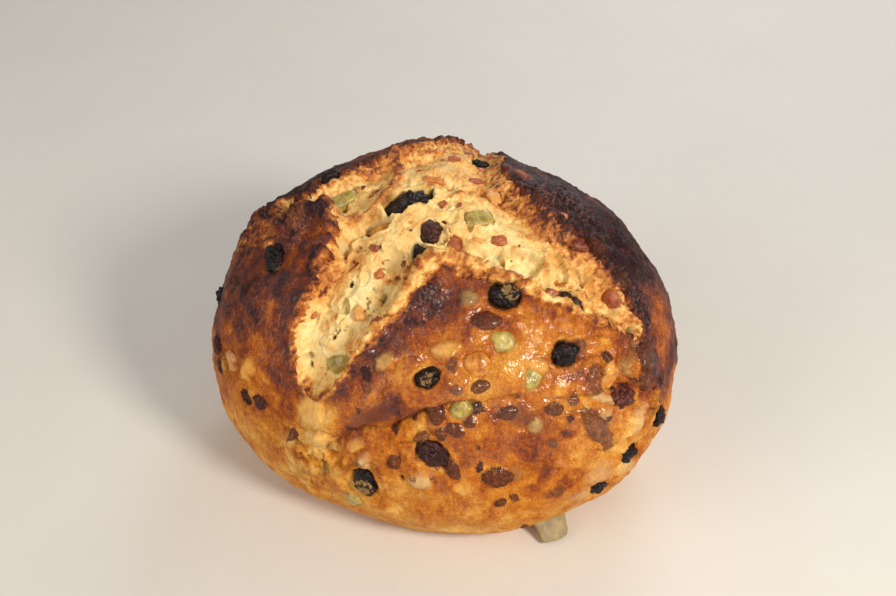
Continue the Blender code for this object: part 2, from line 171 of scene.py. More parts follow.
# Lumps of fruit under the skin: u, v, half length, half width, turn, height, stain, strength
LUMPS = [
    (34, -121, 9, 4.6, 5, 2.2, "date", 0.92), (8, -118, 7, 3.4, -42, 1.4, "date", 0.85),
    (44, -119, 5, 4, 0, 1, "olive", 0.40), (80, -89, 9.5, 5, -20, 2.2, "almond", 0.85),
    (91, -93, 5.5, 3.4, -30, 1.2, "almond", 0.85), (27, -60, 6.5, 3.4, 5, 2.2, "date", 0.90),
    (3, -94, 4.6, 4.4, 0, 2.4, "date", 0.95), (74, -72, 3.4, 6.4, 10, 2, "almond", 0.60),
    (80, -68, 1.8, 5, -15, 1.6, "gold", 0.80), (96, -53, 4.4, 5.4, 0, 2, "date", 0.85),
    (100, -61, 4.6, 4.4, 0, 1.8, "date", 0.80), (70, -22, 5, 3.2, 10, 1.4, "date", 0.80),
    (39, -42, 4.6, 2.6, 10, 1.1, "almond", 0.80), (54, -46, 3.4, 2.6, 0, 1, "almond", 0.80),
    (41, -93, 11, 5, -5, 0.9, "umber", 0.80), (37, -93, 5, 3, 20, 1.2, "date", 0.70),
    (24, -83, 4.4, 2.4, 10, 0.8, "date", 0.70), (58, -88, 5, 2.8, 15, 0.9, "date", 0.72),
    (36, -134, 4, 2.4, 20, 0.9, "date", 0.75), (45, -131, 3.4, 2.2, -20, 0.8, "date", 0.75),
    (70, -123, 6.5, 2.4, 30, 0.6, "almond", 0.60), (59, -152, 4, 2.6, 0, 0.8, "date", 0.70),
    (-20, -99, 2.4, 2.4, 0, 0.9, "date", 0.80), (-24, -113, 4.6, 3.2, 20, 0.9, "date", 0.70),
    (-27, -89, 18, 4.4, 12, 0.2, "umber", 0.70), (-6, -104, 5, 2.6, 30, 0.7, "almond", 0.60),
    (12, -101, 5, 3, -20, 0.8, "date", 0.65), (-40, -66, 2.2, 1.6, 0, 0.6, "date", 0.80),
    (14, -84, 3, 2, 0, 0.7, "almond", 0.70), (64, -64, 5, 3, 20, 1, "almond", 0.60),
    (49, -74, 5, 3.4, 0, 0.5, "gold", 0.70), (10, -70, 6.5, 3.4, 10, 0.7, "gold", 0.70),
    (50, -96, 4.4, 4, 0, 1.4, "citron", 0.65), (-16, -71, 5, 3.4, 20, 1.5, "gold", 0.60),
    (21, -52, 4, 3.4, 0, 1.2, "citron", 0.45), (-83, -81, 4.4, 4, 0, 1.4, "citron", 0.60),
    (-84, -84, 7.5, 3.8, 70, 1.4, "umber", 0.50), (-12, -124, 8, 4.2, 0, 1, "cream", 0.75),
    (-63, -97, 3.2, 2.6, 0, 1.2, "olive", 0.65), (-76, -104, 6, 3.6, 30, -0.8, "olive", 0.60),
    (-45, -110, 6.5, 4.4, 20, 0.9, "cream", 0.80), (-46, -101, 5, 3.4, 0, 1, "gold", 0.80),
    # the next two lumps are golden dough over fruit, brightened further as painted light on the flap at the
    # left of the front
    (-59, -90, 6, 3.4, -25, 2.4, "gold_painted_light", 1), (-60, -77, 11, 8, 0, 0.4, "gold_painted_light", 1),
    (-84, -101, 4, 3, 30, 1.4, "citron", 0.50), (-66, -108, 3, 2.6, 0, 1.2, "citron", 0.45),
    (-92, -94, 9, 3, 60, 0.8, "umber", 0.40), (-101, -30, 5, 3.5, 60, 1.2, "orange", 0.6),
    (-86, -44, 5.5, 4, 0, 1.3, "gold", 0.60), (-46, -3, 5, 3.4, 30, 2.6, "almond", 0.10),
    (-38, -3, 4, 3, 0, 2.4, "raisin", 0.10), (-52, 3, 3.4, 3, 0, 2, "almond", 0.10),
    (-98, -50, 3.6, 5, 20, -1.4, "raisin", 0.70), (-103, -17, 4, 6, 20, 2, "raisin", 0.85),
    (-90, -58, 3, 5.5, 40, 1.2, "raisin", 0.60), (115, -65, 3.4, 6, 0, 1.9, "orange", 0.75),
    (79, -78, 7, 1.8, 5, 1.8, "cream", 0.75), (85, -84, 5, 3.6, 0, 0.8, "cream", 0.55),
    (108, -76, 5, 8, 20, 0.8, "cream", 0.65), (89, -62, 4.4, 5, 0, -1.2, "olive", 0.65),
    (90, -54, 3.2, 3, 0, -1, "olive", 0.50), (118, -96, 12, 4, 30, 0.4, "cream", 0.60),
    (96, -108, 13, 7, 20, 0.2, "cream", 0.45), (92, -122, 14, 4, 10, 0.3, "cream", 0.50),
    (73, -10, 4, 2.2, -60, 1.6, "raisin", 0.6), (85, -9, 4, 3, -50, 1.8, "raisin", 0.6),
    (82, -22, 3.4, 3, 0, 1.7, "raisin", 0.6), (89, -18, 3.2, 2.4, -60, 1.5, "raisin", 0.6),
    (-107, -25, 3, 5, 30, 1.6, "raisin", 0.75), (60, 60, 5, 4, 30, 1.6, "raisin", 0.6),
    (95, 40, 5, 3.6, -40, 1.5, "date", 0.8), (10, 95, 5, 4, 0, 1.4, "citron", 0.6),
    (-55, 80, 5, 4, 60, 1.6, "raisin", 0.7), (-75, 100, 5, 3.6, 20, 1.3, "date", 0.8),
    (50, 135, 5.5, 4, 10, 1.4, "almond", 0.7), (-10, 150, 4.6, 3.6, 40, 1.4, "citron", 0.6),
    (100, 75, 4.6, 4, 0, 1.4, "orange", 0.6), (130, 30, 4.6, 3.6, 50, 1.5, "date", 0.75),
    (-120, 30, 4.6, 4, 10, 1.4, "almond", 0.7), (-110, 85, 4.6, 3.4, 40, 1.4, "citron", 0.55),
    (-100, 60, 6, 4, -20, 1.4, "gold", 0.6), (70, 100, 6, 4, 30, 1.4, "gold", 0.6),
    (30, 120, 4.6, 3.4, 60, 1.4, "date", 0.8), (-40, 120, 5.4, 3.6, -30, 1.4, "almond", 0.7),
]
# How much more (or less) baked a patch of crust is: u, v, half length, half width, turn, change
BAKE_PATCHES = [
    (9, -53, 20, 10, 0, 0.24), (-10, -62, 20, 7, 38, 0.20), (-57, -89, 8, 5, 0, -0.24),
    (-26, -73, 20, 7, 18, 0.18), (-85, -88, 9, 7, 0, 0.16), (-20, -88, 26, 5, 8, 0.24),
    (-48, -83, 13, 6, 5, -0.34), (-58, -80, 15, 9, -10, -0.34), (-68, -92, 14, 9, -40, -0.40),
    (-62, -32, 5, 9, 20, -0.12), (-35, -101, 20, 7, 5, -0.06), (-12, -99, 14, 4, -10, -0.06),
    (-1, -79, 9, 6, 0, -0.14), (33, -80, 18, 9, 0, -0.20), (14, -88, 14, 5, 0, -0.12),
    (52, -70, 10, 8, 0, -0.12), (34, -106, 28, 12, 5, 0.08), (46, -112, 24, 12, 0, 0.04),
    (92, -96, 18, 12, 20, -0.10), (96, -110, 22, 10, 20, 0.08), (6, -148, 40, 12, 0, 0.12),
    (66, -117, 22, 12, 0, 0.12), (70, -60, 16, 7, -10, -0.12), (95, -80, 10, 12, 0, -0.16),
    (-52, -20, 22, 11, 70, -0.02), (-72, -14, 16, 26, 60, 0.10), (-88, -42, 12, 15, 0, -0.26),
    (-100, -70, 20, 14, 30, -0.04), (-82, -62, 14, 10, 0, 0.04), (-100, -98, 16, 12, 0, 0.04),
    (60, 8, 26, 12, -60, 0.26), (86, -10, 30, 12, -65, 0.16), (64, -9, 30, 5, -48, 0.24),
    (108, -40, 18, 11, -70, -0.34), (96, -42, 10, 8, -60, -0.10), (20, 110, 50, 40, 0, 0.08),
    (-34, 40, 22, 9, -20, 0.22),
]
# Linear colours of what shines through the skin
STAINS = {
    "date": (0.130, 0.034, 0.018),
    "almond": (0.270, 0.085, 0.032),
    "umber": (0.150, 0.040, 0.022),
    "citron": (0.50, 0.42, 0.15),
    "orange": (0.66, 0.26, 0.030),
    "gold": (0.86, 0.47, 0.110),
    # golden dough over fruit, brightened past its own colour as painted light on the flap at the left of the
    # front
    "gold_painted_light": (1.00, 0.58, 0.150),
    "cream": (0.70, 0.50, 0.25),
    "olive": (0.25, 0.19, 0.075),
    "raisin": (0.030, 0.012, 0.016),
}
SOFT_STAINS = ("gold", "gold_painted_light", "cream", "olive", "citron", "umber")  # these have no sharp outline
# What the small shreds under the crust are; each name gets an equal share of the shreds
SMALL_STAINS = ("date", "almond", "date", "raisin", "almond", "date")
# Strands of dough that bridge the tear: the points they run through, half width, height, toasting
STRANDS = [
    ([(-33, -5), (-24, -6), (-16, -3), (-11, 5), (-8, 14), (-8, 26), (-10, 38)], 3.2, 3.4, 0.62),
    ([(-30, 3), (-40, 7), (-52, 12)], 1.6, 1.4, 0.1),
    ([(-20, 12), (-32, 17), (-46, 17)], 1.3, 1.3, 0.15),
    ([(56, -4), (55, -18), (54, -34), (55, -42)], 1.8, 1.6, 0.30),
    ([(20, 2), (32, -2), (44, -8)], 2.2, 1.2, 0.25),
    ([(8, 20), (22, 14), (36, 8)], 2.4, 1.4, 0.3),
    ([(-2, -8), (6, -8), (16, -10)], 1.6, 1.0, 0.2),
]
# Crust that is drawn into long wrinkles: u, v, half length, half width, turn, height, wrinkle width
WRINKLED = [
    (80, -4, 62, 26, -62, 1, 2.4), (-84, -10, 40, 20, 78, 0.45, 2.6), (-30, -92, 34, 9, 6, 0.5, 2),
    (0, 62, 40, 14, 10, 0.6, 2.6),
]
# Crust that is torn down to the dough: u, v, half length, half width, turn
TORN_PATCHES = [
    (-68, 8, 17, 6.5, -52), (-84, 20, 7, 4, -60),
]
# Skin that ends in a free edge: its line on the crown map with the raised side on its left, width, height
FLAPS = [
    ([(-70, -91), (-60, -93), (-47, -94), (-42, -92)], 6.0, 2.4),
    ([(-93, -110), (-80, -106), (-74, -99), (-70, -92)], 5.0, 1.5),
    ([(-82, -102), (-80, -94), (-79, -86), (-77, -78)], 5.0, 1.3),
    ([(-109, -58), (-102, -72), (-104, -85), (-105, -96), (-97, -109)], 7.0, 1.0),
    ([(-61, -110), (-50, -108), (-40, -111), (-36, -117)], 4.0, 1.3),
    ([(56, -85), (66, -81), (76, -77), (86, -71), (91, -67)], 3.0, 1.8),
    ([(78, -67), (73, -65), (69, -69), (68, -76)], 3.0, 1.6),
    ([(114, -76), (114, -66), (108, -60), (98, -59)], 3.5, 1.8),
    ([(96, -91), (83, -86), (69, -87), (58, -92)], 5.0, 1.4),
    ([(66, -83), (58, -84), (49, -88)], 5.0, 1.0),
    ([(75, -100), (87, -98), (98, -91), (106, -82)], 5.0, 1.2),
    ([(104, -50), (98, -57), (90, -58), (84, -52)], 3.0, 1.6),
    ([(60, -66), (66, -60), (76, -56), (84, -57)], 3.0, 1.2),
]
# The least share of a piece of fruit that stands out of the dough, by kind
FRUIT_SHOWS = {"raisin": 0.44, "citron": 0.30, "orange": 0.32, "almond": 0.45}
FRUIT_KINDS = tuple(FRUIT_SHOWS)
# How far a piece is moved out of the dough, in millimetres
FRUIT_LIFT = {"raisin_crown_front": 3.4, "raisin_back_arm": 1.5, "citron_back_arm": 2.6,
              "orange_peel_crown": -2.2, "raisin_crown_large": -1.2}
# How much dough covers a raisin, how red it is, how deep it is curled in, in millimetres, and its growth
RAISIN_LOOKS = {
    "raisin_front_lip": (0.52, 0.0, 0.5, 0.98),
    "raisin_front_middle": (0.50, 0.0, 0.0, 1.06),
    "raisin_front_low": (0.50, 0.05, 0.0, 1.10),
    "raisin_front_fold": (0.10, 0.35, 0.0, 1.10),
    "raisin_front_right": (0.10, 0.0, 0.0, 0.98),
    "raisin_right_curled": (0.15, 0.9, 3.0, 1.20),
    "raisin_crown_large": (0.0, 0.0, 1.0, 1.28),
    "raisin_crown_middle": (0.15, 0.5, 0.6, 1.22),
    "raisin_crown_front": (0.0, 0.0, 0.0, 1.25),
    "raisin_arm_right": (0.30, 0.3, 1.0, 1.15),
    "raisin_back_arm": (0.0, 0.1, 0.5, 1.25),
    "raisin_left_shoulder": (0.05, 0.0, 0.4, 1.18),
}
PLAIN_RAISIN = (0.0, 0.05, 0.0, 1.08)  # all the other raisins
FINER_LEVELS = 3  # rounds of subdivision of a CAD node
PEEL_GROWTH = 1.12  # makes up for what the rounds of smoothing take
PEEL_ROUNDS = 14
# Random dips of the crust: radius, depth (below 0 for a pimple), how many
CRUST_DIPS = ((1.6, -0.25, 260), (1.0, -0.20, 700), (0.7, -0.16, 900), (1.2, 0.3, 160))
# Cells of the crumb that are open bubbles: cell size, depth, share of cells that stay closed
BUBBLES = ((8.5, 2.3, 0.45), (4.6, 1.2, 0.50))
# Shreds of fruit under the crust: cell size, share of cells without one, seed
SHREDS = ((9.5, 0.84, 5), (5.5, 0.94, 6))

# ---------------------------------------------------------------- fineness of the meshes
CRUMB_STEP = 0.40
CRUMB_MARGIN = 1.6
CRUMB_SKIRT = 0.66  # the underside's rim, as a share of the way out from the middle
SKIN_GRID = 127
SKIN_FOCUS = np.array((0.08, -0.60, 0.80))
SKIN_FOCUS /= np.linalg.norm(SKIN_FOCUS)
SKIN_DENSITY = 0.42

# ---------------------------------------------------------------- camera and stage
# In degrees and millimetres, but for the floor and the point that the lights are aimed at
VIEW_ELEVATION = 38.0
VIEW_DISTANCE = 526.0
VIEW_TARGET = (4.1, 8.07, 62.9)
LENS = 54.0
SENSOR_WIDTH = 36.0
FLOOR_SIZE = 20.0  # in metres
LIGHT_TARGET = (0, 0, 0.06)  # in metres
# Lights: place, diameter, power in watts, colour
LIGHTS = {
    "key": ((450, -520, 560), 220, 5.5, (1.0, 0.93, 0.81)),
    "fill": ((-700, -480, 560), 700, 3.1, (1.0, 0.94, 0.85)),
    "rim": ((300, 800, 500), 500, 2.4, (0.94, 0.95, 1.0)),
}
SKY_COLOUR = (0.87, 0.84, 0.79, 1.0)
SKY_STRENGTH = 0.35


def smooth_step(x):
    x = np.clip(x, 0.0, 1.0)
    return x * x * (3.0 - 2.0 * x)


def fall(x, end, width):
    """A smooth step from 1 down to 0, which it reaches where x is at the end."""
    return smooth_step((end - x) / width)


def ridge(x, middle, width):
    """A smooth ridge, 1 where x is at the middle."""
    return np.exp(-(((x - middle) / width) ** 2))


# ---------------------------------------------------------------- noise
GRADIENTS = np.random.default_rng(7).normal(size=(512, 3))
GRADIENTS /= np.linalg.norm(GRADIENTS, axis=1)[:, None]
HASH_PRIMES = np.array((73856093, 19349663, 83492791), np.int64)


def bumps(points, size, seed=0):
    """Smooth noise of about -1 to 1 at (n, 3) points, with bumps of about the given size."""
    spot = np.asarray(points) / size + seed * 13.37
    cell = np.floor(spot).astype(np.int64)
    share = spot - cell
    ease = share**3 * (share * (share * 6 - 15) + 10)
    total = np.zeros(len(spot))
    for corner in itertools.product((0, 1), repeat=3):
        mixed = ((cell + corner) * HASH_PRIMES)
        index = (mixed[:, 0] ^ mixed[:, 1] ^ mixed[:, 2])
        index = ((index >> 5) ^ index) % len(GRADIENTS)
        lean = (GRADIENTS[index] * (share - corner)).sum(axis=1)
        total += lean * np.prod(np.where(corner, ease, 1 - ease), axis=1)
    return total * 1.6


def layered(points, size, layers, seed=0):
    """Noise with finer and weaker layers on top of each other."""
    return sum(bumps(points, size / 2**k, seed + k) * 0.5**k for k in range(layers))


def crumple(points, seed=300):
    """Crinkles of torn dough, with sharp ridges at three sizes."""
    warp = np.stack([bumps(points, 7.0, seed + k) for k in range(3)], axis=1) * 2.2
    return sum(share * (0.55 - 1.7 * np.abs(bumps(points + warp, size, seed + 5 + k)))
               for k, (size, share) in enumerate(CRUMPLE_SIZES))


CELL_POINTS = np.random.default_rng(11).random((512, 3))


def cells(spots, seed=0):
    """For 2D spots: distances to the two nearest scattered points, and a random number of the nearest."""
    base = np.floor(spots).astype(np.int64)
    first = np.full(len(spots), 9.0)
    second = first.copy()
    kind = np.zeros(len(spots))
    for step in itertools.product((-1, 0, 1), repeat=2):
        cell = base + step
        index = (cell[:, 0] * HASH_PRIMES[0]) ^ (cell[:, 1] * HASH_PRIMES[1]) ^ (seed * HASH_PRIMES[2])
        index = ((index >> 7) ^ index) % len(CELL_POINTS)
        distance = np.linalg.norm(spots - cell - CELL_POINTS[index, :2], axis=1)
        second = np.minimum(second, np.maximum(first, distance))
        kind = np.where(distance < first, CELL_POINTS[index, 2], kind)
        first = np.minimum(first, distance)
    return first, second, kind


# ---------------------------------------------------------------- crown map and smooth body
def map_axes():
    back = np.array((0.0, 1.0, 0.0))
    back -= CROWN * CROWN[1]
    back /= np.linalg.norm(back)
    return np.cross(back, CROWN), back


RIGHT_AXIS, BACK_AXIS = map_axes()


def map_to_direction(places):
    reach = np.hypot(places[:, 0], places[:, 1])
    angle = reach / MAP_RADIUS
    side = (places[:, :1] * RIGHT_AXIS + places[:, 1:] * BACK_AXIS) / np.maximum(reach, 1e-9)[:, None]
    return np.cos(angle)[:, None] * CROWN + np.sin(angle)[:, None] * side


def direction_to_map(directions):
    angle = np.arccos(np.clip(directions @ CROWN, -1, 1))
    right = directions @ RIGHT_AXIS
    back = directions @ BACK_AXIS
    reach = np.maximum(np.hypot(right, back), 1e-9)
    return np.stack([angle * MAP_RADIUS * right / reach, angle * MAP_RADIUS * back / reach], axis=1)


def body_points(directions):
    bearing = np.arctan2(directions[:, 1], directions[:, 0])
    plan = PLAN_RADIUS + sum(c * np.cos(k * bearing) + s * np.sin(k * bearing) for k, c, s in PLAN_WAVES)
    flat = np.hypot(directions[:, 0], directions[:, 1])
    rise = np.where(directions[:, 2] > 0, CROWN_RISE, UNDER_DROP)
    power = (flat / plan) ** DOME_POWER + (np.abs(directions[:, 2]) / rise) ** DOME_POWER
    points = directions * (power ** (-1 / DOME_POWER))[:, None]
    points[:, 2] += BELLY_HEIGHT
    under = points[:, 2] < 0
    shrink = np.where(under, BELLY_HEIGHT / np.maximum(BELLY_HEIGHT - points[:, 2], 1e-9), 1.0)
    points[:, :2] *= shrink[:, None]
    points[under, 2] = 0.0
    lean = np.clip(points[:, 2] / (BELLY_HEIGHT + CROWN_RISE), 0, 1) ** 1.5
    return points + lean[:, None] * np.array((*CROWN_LEAN, 0.0))


def unit(vectors):
    return vectors / np.maximum(np.linalg.norm(vectors, axis=1), 1e-12)[:, None]


def body_normals(directions, step=0.004):
    helper = np.where(np.abs(directions[:, 2:]) < 0.9, [[0.0, 0.0, 1.0]], [[1.0, 0.0, 0.0]])
    first = unit(np.cross(helper, directions))
    second = np.cross(directions, first)
    across = [body_points(unit(directions + step * way)) for way in (first, -first, second, -second)]
    return unit(np.cross(across[0] - across[1], across[2] - across[3]))


# ---------------------------------------------------------------- curves on the crown map
def smooth_curve(points, closed, steps):
    """A Catmull-Rom curve through the given points, with so many steps for each span."""
    points = np.array(points, float)
    count = len(points)
    curve = []
    for i in range(count if closed else count - 1):
        a, b, c, d = (points[(i + k) % count] if closed else points[min(max(i + k, 0), count - 1)]
                      for k in (-1, 0, 1, 2))
        for t in np.arange(steps) / steps:
            curve.append(0.5 * (2 * b + (c - a) * t + (2 * a - 5 * b + 4 * c - d) * t**2
                                + (3 * b - a - 3 * c + d) * t**3))
    if not closed:
        curve.append(points[-1])
    return np.array(curve)


def nearest_on_curve(places, curve, closed):
    """For each place: its nearest point of the curve, how far along that is (0 to 1), and which side."""
    starts = curve if closed else curve[:-1]
    ends = np.roll(curve, -1, axis=0) if closed else curve[1:]
    along = ends - starts
    length = (along**2).sum(axis=1)
    found, share_found, side_found = [], [], []
    for part in np.array_split(places, max(1, len(places) // 4000)):
        offset = part[:, None, :] - starts[None]
        share = np.clip((offset * along).sum(axis=2) / length, 0, 1)
        gap = offset - share[..., None] * along
        pick = np.argmin((gap**2).sum(axis=2), axis=1)
        rows = np.arange(len(part))
        found.append(part - gap[rows, pick])
        share_found.append((pick + share[rows, pick]) / len(starts))
        side_found.append(np.sign(along[pick, 0] * gap[rows, pick, 1] - along[pick, 1] * gap[rows, pick, 0]))
    return np.concatenate(found), np.concatenate(share_found), np.concatenate(side_found)


def inside_polygon(places, polygon):
    x0, y0 = polygon[:, 0], polygon[:, 1]
    x1, y1 = np.roll(x0, -1), np.roll(y0, -1)
    inside = []
    for part in np.array_split(places, max(1, len(places) // 4000)):
        x, y = part[:, :1], part[:, 1:]
        crosses = ((y0 > y) != (y1 > y)) & (x < (x1 - x0) * (y - y0) / (y1 - y0 + 1e-12) + x0)
        inside.append(crosses.sum(axis=1) % 2 == 1)
    return np.concatenate(inside)


def curve_distance(places, curve, closed):
    """How far each place is from the curve."""
    nearest, _, _ = nearest_on_curve(places, curve, closed)
    return np.linalg.norm(places - nearest, axis=1)


TEAR = smooth_curve([p for edge in TEAR_EDGES.values() for p in edge], True, EDGE_STEPS)
FOLD = smooth_curve(FOLD_LINE, False, EDGE_STEPS)
FADING_LOOKS = ("lip", "hang", "rag", "char", "bare")  # these vanish at the arms' ends
TEAR_LENGTH = np.linalg.norm(TEAR - np.roll(TEAR, 1, axis=0), axis=1).sum()


def edge_values(key):
    """One of the lip looks at each point of the tear's edge."""
    values = []
    for side, edge in TEAR_EDGES.items():
        marks = LIP_LOOKS[side][key]
        for i in range(len(edge)):
            share = (i + 0.5) / len(edge)
            fade = math.sin(math.pi * share) ** 0.5 if key in FADING_LOOKS else 1.0
            values.append(np.interp(share, np.linspace(0, 1, len(marks)), marks) * fade)
    return np.array(values)


def tear_fields(places, points):
    """Ragged signed distance to the tear's edge, negative in the crumb, the way out, and the lip looks."""
    nearest, along, _ = nearest_on_curve(places, TEAR, True)
    away = places - nearest
    distance = np.linalg.norm(away, axis=1)
    sign = np.where(inside_polygon(places, TEAR), -1.0, 1.0)
    looks = {"along": along * TEAR_LENGTH}
    for key in LIP_LOOKS["left"]:
        values = edge_values(key)
        looks[key] = np.interp(along * len(values), np.arange(len(values)), values, period=len(values))
    rag = bumps(points, 9.0, 3) + 0.45 * bumps(points, 4.0, 4) + 0.12 * bumps(points, 1.8, 5)
    ragged = sign * distance + looks["rag"] * rag * ridge(distance, 0, 7.0)
    return ragged, sign[:, None] * unit(away), looks


def turned(places, u, v, turn):
    """Distances along and across a direction of the crown map, from one point of it."""
    c, s = math.cos(math.radians(turn)), math.sin(math.radians(turn))
    du, dv = places[:, 0] - u, places[:, 1] - v
    return du * c + dv * s, dv * c - du * s


def oval_radius(places, u, v, long_half, short_half, turn):
    """1 on the outline of an oval on the crown map, less inside it."""
    along, over = turned(places, u, v, turn)
    return np.hypot(along / long_half, over / short_half)


def cornered_radius(places, u, v, long_half, short_half, turn):
    """Like oval_radius, for an outline with blunt corners."""
    along, over = turned(places, u, v, turn)
    a, b = along / long_half, over / short_half
    flat = np.maximum.reduce([np.abs(a), np.abs(b), 0.78 * np.abs(a + b), 0.70 * np.abs(a - b)])
    return 0.7 * flat + 0.3 * np.hypot(a, b)


def arm_shares(places):
    """How much each arm's direction counts at each place; the shares add up to 1."""
    weights = []
    for ends in ARMS.values():
        weights.append(ridge(curve_distance(places, np.array(ends, float), False), 0, ARM_BLEND) + 1e-6)
    return np.array(weights) / np.sum(weights, axis=0)


def streaks(places, shares, width, stretch, seed):
    """Noise drawn out along the arms of the tear."""
    total = np.zeros(len(places))
    for share, (start, end) in zip(shares, ARMS.values()):
        way = np.subtract(end, start) / math.dist(start, end)
        along = places @ way / stretch
        over = places @ np.array((-way[1], way[0]))
        total += share * bumps(np.stack([along, over, np.zeros(len(places))], axis=1), width, seed)
    return total


# ---------------------------------------------------------------- fruit that the skin closes around
def fruit_ovals():
    """Middle, axes scaled to 1 on the surface, and support of the ellipsoid round each piece of fruit."""
    ovals = {}
    for name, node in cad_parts.items():
        if name in ("loaf", "dough_scrap"):
            continue
        points = np.array([v.co for v in node.data.vertices]) / MM
        middle = (points.min(axis=0) + points.max(axis=0)) / 2
        _, _, axes = np.linalg.svd(points - middle, full_matrices=False)
        half = np.abs((points - middle) @ axes.T).max(axis=0)
        ovals[name] = (lifted(name, middle), axes.T / half, axes.T * half)
    return ovals


def lifted(name, middle):
    """The middle of a piece of fruit after its lift."""
    away = middle - np.array((0.0, 0.0, BELLY_HEIGHT))
    return middle + FRUIT_LIFT.get(name, 0.0) * away / np.linalg.norm(away)


FRUIT = fruit_ovals()


def fruit_reach(points, kinds):
    """1 on the surface of the nearest piece of fruit of these kinds, less inside it, more outside."""
    reach = np.full(len(points), 9.0)
    for name, (middle, inward, _) in FRUIT.items():
        if name.startswith(kinds):
            reach = np.minimum(reach, np.linalg.norm((points - middle) @ inward, axis=1))
    return reach


def seat_fruit(points, normals, height):
    """Lowers the skin round each piece of fruit until enough of the piece stands out of it."""
    surface = points + height[:, None] * normals
    for name, (middle, inward, spread) in FRUIT.items():
        reach = np.linalg.norm((surface - middle) @ inward, axis=1)
        nearest = np.argmin(reach)
        out = normals[nearest]
        if reach[nearest] > 1.0 and (surface[nearest] - middle) @ out < 0:
            continue
        thick = np.linalg.norm(out @ spread)
        shows = (middle - surface[nearest]) @ out + thick
        lack = FRUIT_SHOWS[name.split("_")[0]] * 2 * thick - shows
        height -= max(lack, 0.0) * fall(reach, 2.1, 1.1)


# ---------------------------------------------------------------- relief shared by crust and crumb
# Sections across the lip. The crust's edge stands over the crumb by its own thickness, then dives
# under it; its shift towards the crumb is in overhangs, the heights are in lips.
LIP_PLACES = (-3.0, -2.0, -1.3, -0.8, -0.4, 0.0, 0.7, 1.6, 3.2, 6.0)
LIP_SHIFT = (0.0, 0.2, 0.55, 0.95, 1.0, 0.95, 0.85, 0.6, 0.3, 0.0)
LIP_RISE = (0.0, 0.0, 0.10, 0.55, 0.92, 1.02, 1.05, 0.98, 0.84, 0.60)
CRUMB_PLACES = (-6.0, -4.4, -3.0, -2.0, -1.0, 0.0, 2.0)
CRUMB_RISE = (0.0, 0.10, 0.30, 0.52, 0.74, 0.86, 0.84)
CRUST_THICKNESS = 0.9
DIVE = 3.0


def shared_relief(points, across, looks):
    """Lip size and the swelling that crust and crumb have in common."""
    lip = looks["lip"] * (1.0 + 0.45 * bumps(points, 9.0, 9) + 0.12 * bumps(points, 4.0, 10))
    swell = 1.3 * bumps(points, 24.0, 1) + CRUMB_PUFF * smooth_step((-across - 4.5) / CRUMB_PUFF_WIDTH)
    return lip, swell


def apply_hollows(places, points, height, hollow_shade, rim):
    """Presses the hollows in, with painted shade inside them; returns how far inside one each place is, 0 to
    1.
    """
    wander = 0.26 * bumps(points, 4.5, 70) + 0.14 * bumps(points, 1.8, 71)
    inside = np.zeros(len(places))
    for *oval, deep, dark in HOLLOWS:
        radius = oval_radius(places, *oval) + wander
        height -= deep * fall(radius, 1.10, 0.38)
        height += rim * ridge(radius, 1.14, 0.12)
        edge = 0.24 * ridge(radius, 0.94, 0.12)
        # painted shade inside each hollow, and a faint ring of it just inside the edge
        hollow_shade[:] = np.maximum.reduce([hollow_shade, dark * fall(radius, 1.02, 0.35), edge])
        inside = np.maximum(inside, fall(radius, 1.15, 0.25))
    return inside


def place_points(places):
    directions = map_to_direction(places)
    return body_points(directions), body_normals(directions)


def raise_points(points, normals, height, shift, away):
    """Moves points out by height and sideways by shift, less and less towards the foot."""
    fade = smooth_step(points[:, 2] / FOOT_FADE)
    sideways = RIGHT_AXIS * away[:, :1] + BACK_AXIS * away[:, 1:]
    sideways = unit(sideways - (sideways * normals).sum(axis=1)[:, None] * normals)
    return points + (height * fade)[:, None] * normals + (shift * fade)[:, None] * sideways


def move_points(shape, points):
    for vertex, point in zip(shape.verts, points * MM):
        vertex.co = point


def set_points(shape, points):
    """Moves the vertices of a bmesh and returns their new normals."""
    move_points(shape, points)
    shape.normal_update()
    return np.array([v.normal for v in shape.verts])


def roughen(shape, points, amount):
    """Crumples a surface along its own normals, so that steep walls are as rough as level ground."""
    folds = crumple(points)
    points = points + (amount * folds)[:, None] * set_points(shape, points)
    set_points(shape, points)
    return points, folds


def patched(places, points, patches):
    """The sum of soft oval patches, each given as u, v, half length, half width, turn and strength."""
    total = np.zeros(len(places))
    wander = 0.22 * bumps(points, 8.0, 130) + 0.10 * bumps(points, 3.0, 131)
    for *oval, strength in patches:
        radius = oval_radius(places, *oval) + wander
        total += strength * np.exp(-np.maximum(radius, 0) ** 2 * 1.1)
    return total


# ---------------------------------------------------------------- crumb
def drawn_dough(places, points, looks, across, height):
    """Ridges and fine streaks along the arms, streaks across the lips, and where dough is drawn out."""
    shares = arm_shares(places)
    ridges = 1.0 - 2.2 * np.abs(streaks(places, shares, 2.8, 7.0, 200))
    fine = streaks(places, shares, 1.1, 9.0, 210)
    at_lip = bumps(np.stack([looks["along"] / 6.0, across, height], axis=1), 1.2, 215)
    drawn = smooth_step(0.35 + 1.3 * bumps(points, 9.0, 220))
    return ridges, fine, at_lip, drawn


def open_bubbles(places, points, inside, height):
    """Presses in wide shallow bubbles and clusters of small pores; returns how open each kind is."""
    warp = np.stack([bumps(points, 4.0, 230), bumps(points, 4.0, 231)], axis=1)
    airy = smooth_step(0.7 + 1.6 * bumps(points, 16.0, 236)) * smooth_step(inside / 3.0)
    bubble = np.zeros(len(places))
    for size, deep, share in BUBBLES:
        first, second, kind = cells((places + 1.8 * warp) / size, int(size))
        open_cell = smooth_step((second - first) / 0.5) * np.clip((kind - share) / 0.25, 0, 1) * airy
        height -= deep * open_cell
        bubble = np.maximum(bubble, open_cell)
    first, _, kind = cells((places + 0.7 * warp) / 1.9, 2)
    cluster = smooth_step(2.6 * bumps(points, 7.0, 235) - 0.55)
    pore = fall(first, 0.46, 0.18) * (kind > 0.62) * cluster
    height -= 0.8 * pore
    return bubble, pore


